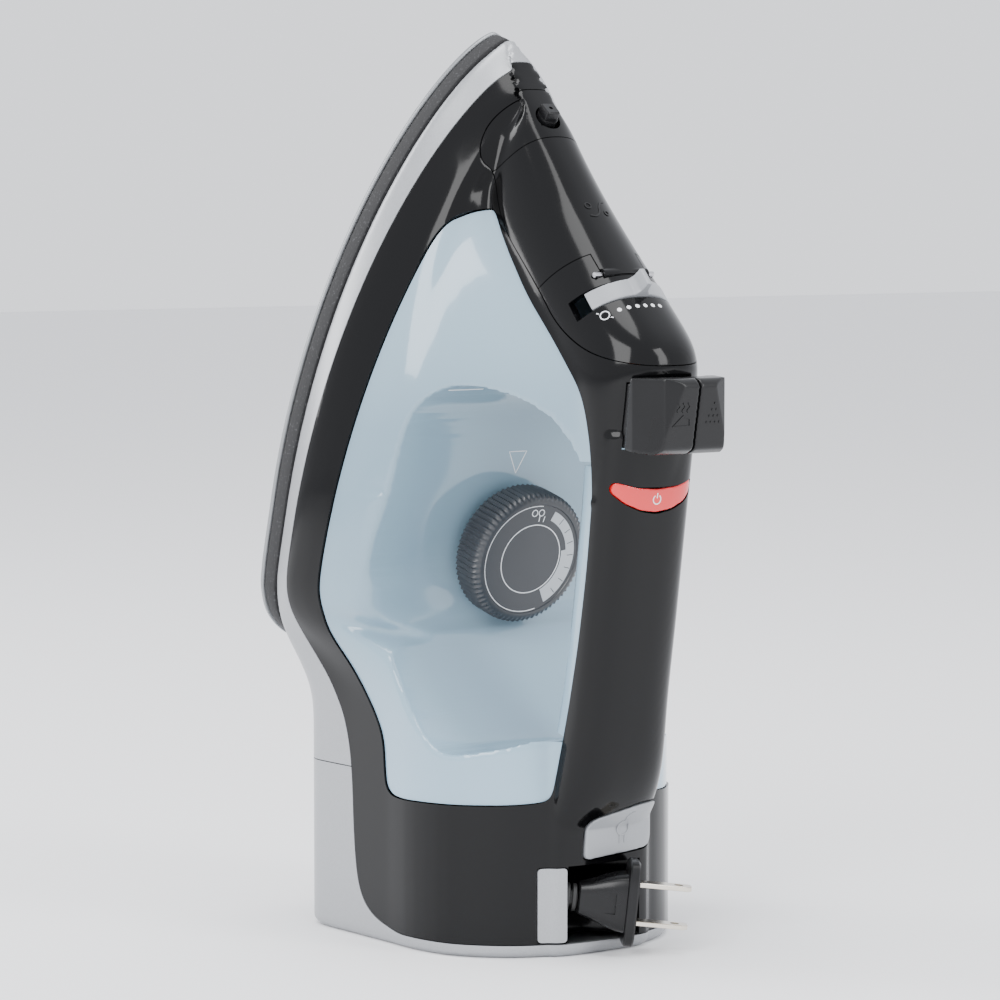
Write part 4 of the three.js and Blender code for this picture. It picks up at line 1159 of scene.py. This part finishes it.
class IRON_OT_rewind(bpy.types.Operator):
    """Light grey rewind button with a raised plug sign"""

    bl_idname = "iron.rewind"
    bl_label = "Rewind button"

    def execute(self, context):
        key = common(outer_form(-0.7), rear_prism(filleted(REWIND_OUTLINE, 2.4), 44, 90))
        cut(key, outer_form(2.2))
        join(key, rod((50.5, 5, 40.5), (59.2, 5, 40.5), 3, 32))
        remeshed(key, 0.35, 4)
        key = finished(key, "rewind_look", "light_grey", "rewind_key", ["rewind_button"])
        tree = surface_of(key)

        def at(y, z):
            return Vector((90, y, z))

        head = [at(3.4, 42.6), at(3.2, 40.4), at(4.0, 39.2), at(5.6, 38.8), at(7.2, 39.2),
                at(8.0, 40.4), at(7.8, 42.6), at(6.8, 43.6), at(4.4, 43.6), at(3.4, 42.6)]
        cord = [at(*p) for p in ((5.6, 43.6), (5.7, 45.0), (6.8, 46.2), (8.2, 46.6))]
        printed("rewind_sign", tree, [
            (head, 0.5), (cord, 0.5), ([at(4.6, 38.7), at(4.6, 36.2)], 0.6),
            ([at(6.7, 38.7), at(6.7, 36.2)], 0.6)],
            (-1, 0, 0), "rewind_key", "light_grey", 0.25 * MM)
        return {"FINISHED"}


BLADE_LENGTH, BLADE_WIDTH, BLADE_PITCH = 17.5, 6.35, 12.7


class IRON_OT_plug(bpy.types.Operator):
    """Cord outlet, and the plug with its relief and blades parked in the recess"""

    bl_idname = "iron.plug"
    bl_label = "Outlet and plug"

    def execute(self, context):
        strip = common(form("outer"), outlet_prism(0, 51.4))
        finished(strip, "outlet", "silver_plastic", "iron_body", ["cord_outlet"])
        turn = (Matrix.Translation((53, -14, 19.6)) @ Matrix.Rotation(math.radians(57), 4, "Z")
                @ Matrix.Rotation(math.radians(6), 4, "Y"))

        def block(stations, power=0.45):
            round_points = squared_circle(power, 64)
            return lofted([[turn @ Vector((x, w * c, h * s)) for c, s in round_points]
                           for x, w, h in stations])

        body = block([(5.2, 4.0, 4.6), (5.6, 4.6, 5.2), (9, 5.2, 6.2), (14, 6.6, 8.2),
                      (18, 7.4, 9.4), (20.6, 7.7, 9.8), (20.9, 8.6, 13.6), (21.4, 9.0, 14.2),
                      (23.6, 9.0, 14.2), (24.2, 8.5, 13.7)])
        tool = box(-3.2, 3.2, -2, 2, -3.4, 3.4)
        tool.data.transform(turn @ Matrix.Translation((14, -8.4, 0)))
        cut(body, tool)
        finished(body, "plug", "satin_black", "iron_body", ["plug_body"])
        relief = block([(0.6, 2.9, 2.9), (1.0, 3.9, 4.5), (2.2, 3.9, 4.5), (2.4, 2.9, 2.9),
                        (3.1, 2.9, 2.9), (3.3, 3.9, 4.5), (4.4, 3.9, 4.5), (4.6, 2.9, 2.9),
                        (4.9, 2.9, 2.9)], 0.8)
        finished(relief, "plug_neck", "rubber", "iron_body", ["plug_relief"])
        base, tip, half, corner = 24.5, 24.5 + BLADE_LENGTH, BLADE_WIDTH / 2, 1.4
        for name, z in (("upper", BLADE_PITCH / 2), ("lower", -BLADE_PITCH / 2)):
            outline = filleted([
                (base, -half), (tip - corner, -half), (tip, corner - half), (tip, half - corner),
                (tip - corner, half), (base, half)], 0.5, 4)
            rings = [[(x, y * (1 - inset / 3), z + dz) for x, y in outline]
                     for dz, inset in ((-0.75, 0.2), (-0.6, 0), (0.6, 0), (0.75, 0.2))]
            blade = cut(lofted(rings), rod((tip - 4.2, 0, z - 3), (tip - 4.2, 0, z + 3), 1.5, 40))
            blade.data.transform(turn)
            finished(blade, f"blade_{name}", "nickel", "iron_body", [f"plug_blade_{name}"])
        return {"FINISHED"}


class IRON_OT_prints(bpy.types.Operator):
    """Plain printed and raised marks on the tank, the head and the buttons"""

    bl_idname = "iron.prints"
    bl_label = "Marks"

    def execute(self, context):
        head = surface_of(bpy.data.objects["head"])
        y_axis = Vector((0, 1, 0))
        centre = on_slope(SLIDER_D + SLIDER_LENGTH + 4.2, -16)

        def facing(degrees):
            a = math.radians(degrees)
            return (SLOPE_OUT * math.cos(a) + y_axis * math.sin(a),
                    y_axis * math.cos(a) - SLOPE_OUT * math.sin(a))

        for i, degrees in enumerate((-36, -25, -14, -3, 8, 19)):
            away, side = facing(degrees)
            printed(f"dot_{i + 1}", head, disc_strokes(centre + away * 40, 0.75, side, SLOPE),
                    -away, "iron_body")
        away, side = facing(-52)
        start = centre + away * 40
        printed("steam_off_mark", head, [
            (ring_points(start, 1.5, side, SLOPE, count=24), 0.35),
            ([start - side * 2.1 - SLOPE * 2.1, start + side * 2.1 + SLOPE * 2.1], 0.35)],
            -away, "iron_body")
        self.mark_tank()
        self.mark_door()
        self.mark_buttons()
        return {"FINISHED"}

    def mark_tank(self):
        """The highest water level and the pointer over the dial."""
        tank = surface_of(bpy.data.objects["tank"])
        inward, level = Vector((-0.804, 0.595, 0)), Vector((0.595, 0.804, 0))
        middle = Vector((33.7, -38.8, 184.5)) - inward * 70
        line = [middle + level * mix(-5.6, 5.6, i / 16) for i in range(17)]
        printed("level_mark", tank, [(line, 0.7)], inward, "iron_body")
        corners = [leaned(62, y, p) for y, p in ((0, 174.5), (3.6, 182), (-3.6, 182), (0, 174.5))]
        outline = [a.lerp(b, i / 6) for a, b in zip(corners, corners[1:]) for i in range(6)]
        printed("dial_pointer", tank, [([*outline, outline[0]], 0.3)], (-COS, 0, SIN),
                "iron_body")

    def mark_door(self):
        """The raised fill sign on the door: a ring, a curve and a drop."""
        door = surface_of(bpy.data.objects["door"])
        y_axis = Vector((0, 1, 0))
        middle = on_slope(31, 30, 2)
        cup = [middle + y_axis * a - SLOPE * b for a, b in (
            (4.6, 4.4), (2.6, 3.6), (1.2, 1.8), (0.2, -0.6), (-1.8, -2.2), (-4.2, -1.8))]
        curve = [Vector(p) for p in spline(cup, 24, closed=False)]
        printed("fill_sign", door, [
            (curve, 0.6),
            (ring_points(middle - y_axis * 3.2 - SLOPE * 2.2, 1.1, y_axis, SLOPE, count=24), 0.5),
            (ring_points(middle + y_axis * 3.4 + SLOPE * 0.6, 0.9, y_axis, SLOPE, count=24), 0.5)],
            -SLOPE_OUT, "door", "satin_black", 0.22 * MM)

    def mark_buttons(self):
        """Raised steam sign on one button and spray dots on the other."""
        y_axis, up = Vector((0, 1, 0)), Vector((0, 0, 1))
        near = surface_of(bpy.data.objects["steam_button_look"])
        middle = Vector((130, -6.4, 178.5))
        iron = [middle + y_axis * a + up * b for a, b in (
            (-3.4, -3.0), (3.4, -3.0), (3.2, -0.6), (0.6, 0.4), (-3.4, -3.0))]
        puffs = [[middle + y_axis * (a + 0.5 * math.sin(b * 2.4)) + up * b
                  for b in np.linspace(1.4, 4.4, 9)] for a in (-1.6, 0.4, 2.4)]
        printed("steam_sign", near, [(iron, 0.45)] + [(puff, 0.4) for puff in puffs],
                (-1, 0, 0), "shot_button", "satin_black", 0.2 * MM)
        far = surface_of(bpy.data.objects["spray_button_look"])
        dots = []
        for row in range(4):
            for column in range(row + 1):
                spot = Vector((130, 6.6 + (column - row / 2) * 1.7, 182.5 - row * 2.0))
                dots += disc_strokes(spot, 0.4, y_axis, up)
        printed("spray_sign", far, dots, (-1, 0, 0), "mist_button",
                "satin_black", 0.2 * MM)


class IRON_OT_inner(bpy.types.Operator):
    """Finishes for the CAD pieces that are shown as they are"""

    bl_idname = "iron.inner"
    bl_label = "Inner pieces"

    def execute(self, context):
        slots = {s["node"]: s["material_slot"] for s in frame["record"]["subparts"]}
        for node, item in frame["nodes"].items():
            item.data.materials.clear()
            item.data.materials.append(MATERIALS[slots[node]])
            if not item.material_slots:
                raise RuntimeError(f"{node} has no material slot")
        return {"FINISHED"}


# ---------- stage ----------
class IRON_OT_stage(bpy.types.Operator):
    """Pale floor, soft studio lights and the camera"""

    bl_idname = "iron.stage"
    bl_label = "Stage"

    def execute(self, context):
        target = Vector((0, 0, 145.4))
        azimuth, elevation, distance = math.radians(53.5), math.radians(4.5), 1337
        away = Vector((math.cos(elevation) * math.sin(azimuth),
                       -math.cos(elevation) * math.cos(azimuth), math.sin(elevation)))
        lens = bpy.data.cameras.new("camera")
        lens.lens = 142.7
        lens.sensor_width = 36
        lens.clip_end = 20
        camera = bpy.data.objects.new("camera", lens)
        context.scene.collection.objects.link(camera)
        camera.location = TO_ROW @ (target + away * distance)
        camera.rotation_euler = (-away).to_track_quat("-Z", "Y").to_euler()
        context.scene.camera = camera

        size = 6.0
        floor = new_object("floor", [(-size, -size, 0), (size, -size, 0), (size, size, 0),
                                     (-size, size, 0)], [(0, 1, 2, 3)])
        paper = Shader("floor_paper", Base_Color=(0.86, 0.86, 0.87), Roughness=0.75)
        floor.data.materials.append(paper.material)

        world = bpy.data.worlds.new("studio")
        context.scene.world = world
        world.use_nodes = True
        backdrop = world.node_tree.nodes["Background"]
        backdrop.inputs["Color"].default_value = (0.93, 0.95, 1.0, 1)
        backdrop.inputs["Strength"].default_value = 1.5

        middle = Vector((0, 0, 0.15))
        for name, place, power, size_x, size_y in (
                ("key", (0.7, -1.5, 1.1), 28, 0.9, 1.2),
                ("fill", (1.5, 0.6, 0.9), 16, 0.5, 1.3),
                ("edge", (-1.3, -0.9, 0.9), 16, 0.6, 1.2),
                ("top", (0.1, -0.1, 1.9), 20, 1.0, 1.0)):
            light = bpy.data.lights.new(name, "AREA")
            light.shape = "RECTANGLE"
            light.size, light.size_y = size_x, size_y
            light.energy = power
            lamp = bpy.data.objects.new(name, light)
            context.scene.collection.objects.link(lamp)
            lamp.location = place
            lamp.rotation_euler = (middle - Vector(place)).to_track_quat("-Z", "Y").to_euler()
        return {"FINISHED"}


STEPS = (
    IRON_OT_stage, IRON_OT_inner, IRON_OT_soleplate, IRON_OT_silver, IRON_OT_housing,
    IRON_OT_tank, IRON_OT_snout, IRON_OT_slider, IRON_OT_buttons, IRON_OT_power, IRON_OT_dial,
    IRON_OT_rewind, IRON_OT_plug, IRON_OT_prints,
)


class IRON_PT_panel(bpy.types.Panel):
    """Lists the settings and the building steps"""

    bl_idname = "IRON_PT_panel"
    bl_label = "Steam iron"
    bl_space_type = "VIEW_3D"
    bl_region_type = "UI"
    bl_category = "Iron"

    def draw(self, context):
        for key in IronSettings.__annotations__:
            self.layout.prop(context.scene.iron_settings, key)
        for step in STEPS:
            self.layout.operator(step.bl_idname)


def register():
    """Registers the settings, the steps and the panel."""
    for item in (IronSettings, *STEPS, IRON_PT_panel):
        bpy.utils.register_class(item)
    bpy.types.Scene.iron_settings = bpy.props.PointerProperty(type=IronSettings)


def unregister():
    """Takes the settings, the steps and the panel away."""
    del bpy.types.Scene.iron_settings
    for item in (IRON_PT_panel, *reversed(STEPS), IronSettings):
        bpy.utils.unregister_class(item)


def main():
    """Builds the whole look."""
    register()
    make_materials()
    for step in STEPS:
        group, name = step.bl_idname.split(".")
        getattr(getattr(bpy.ops, group), name)()
    clear_forms()


if __name__ == "__main__":
    main()
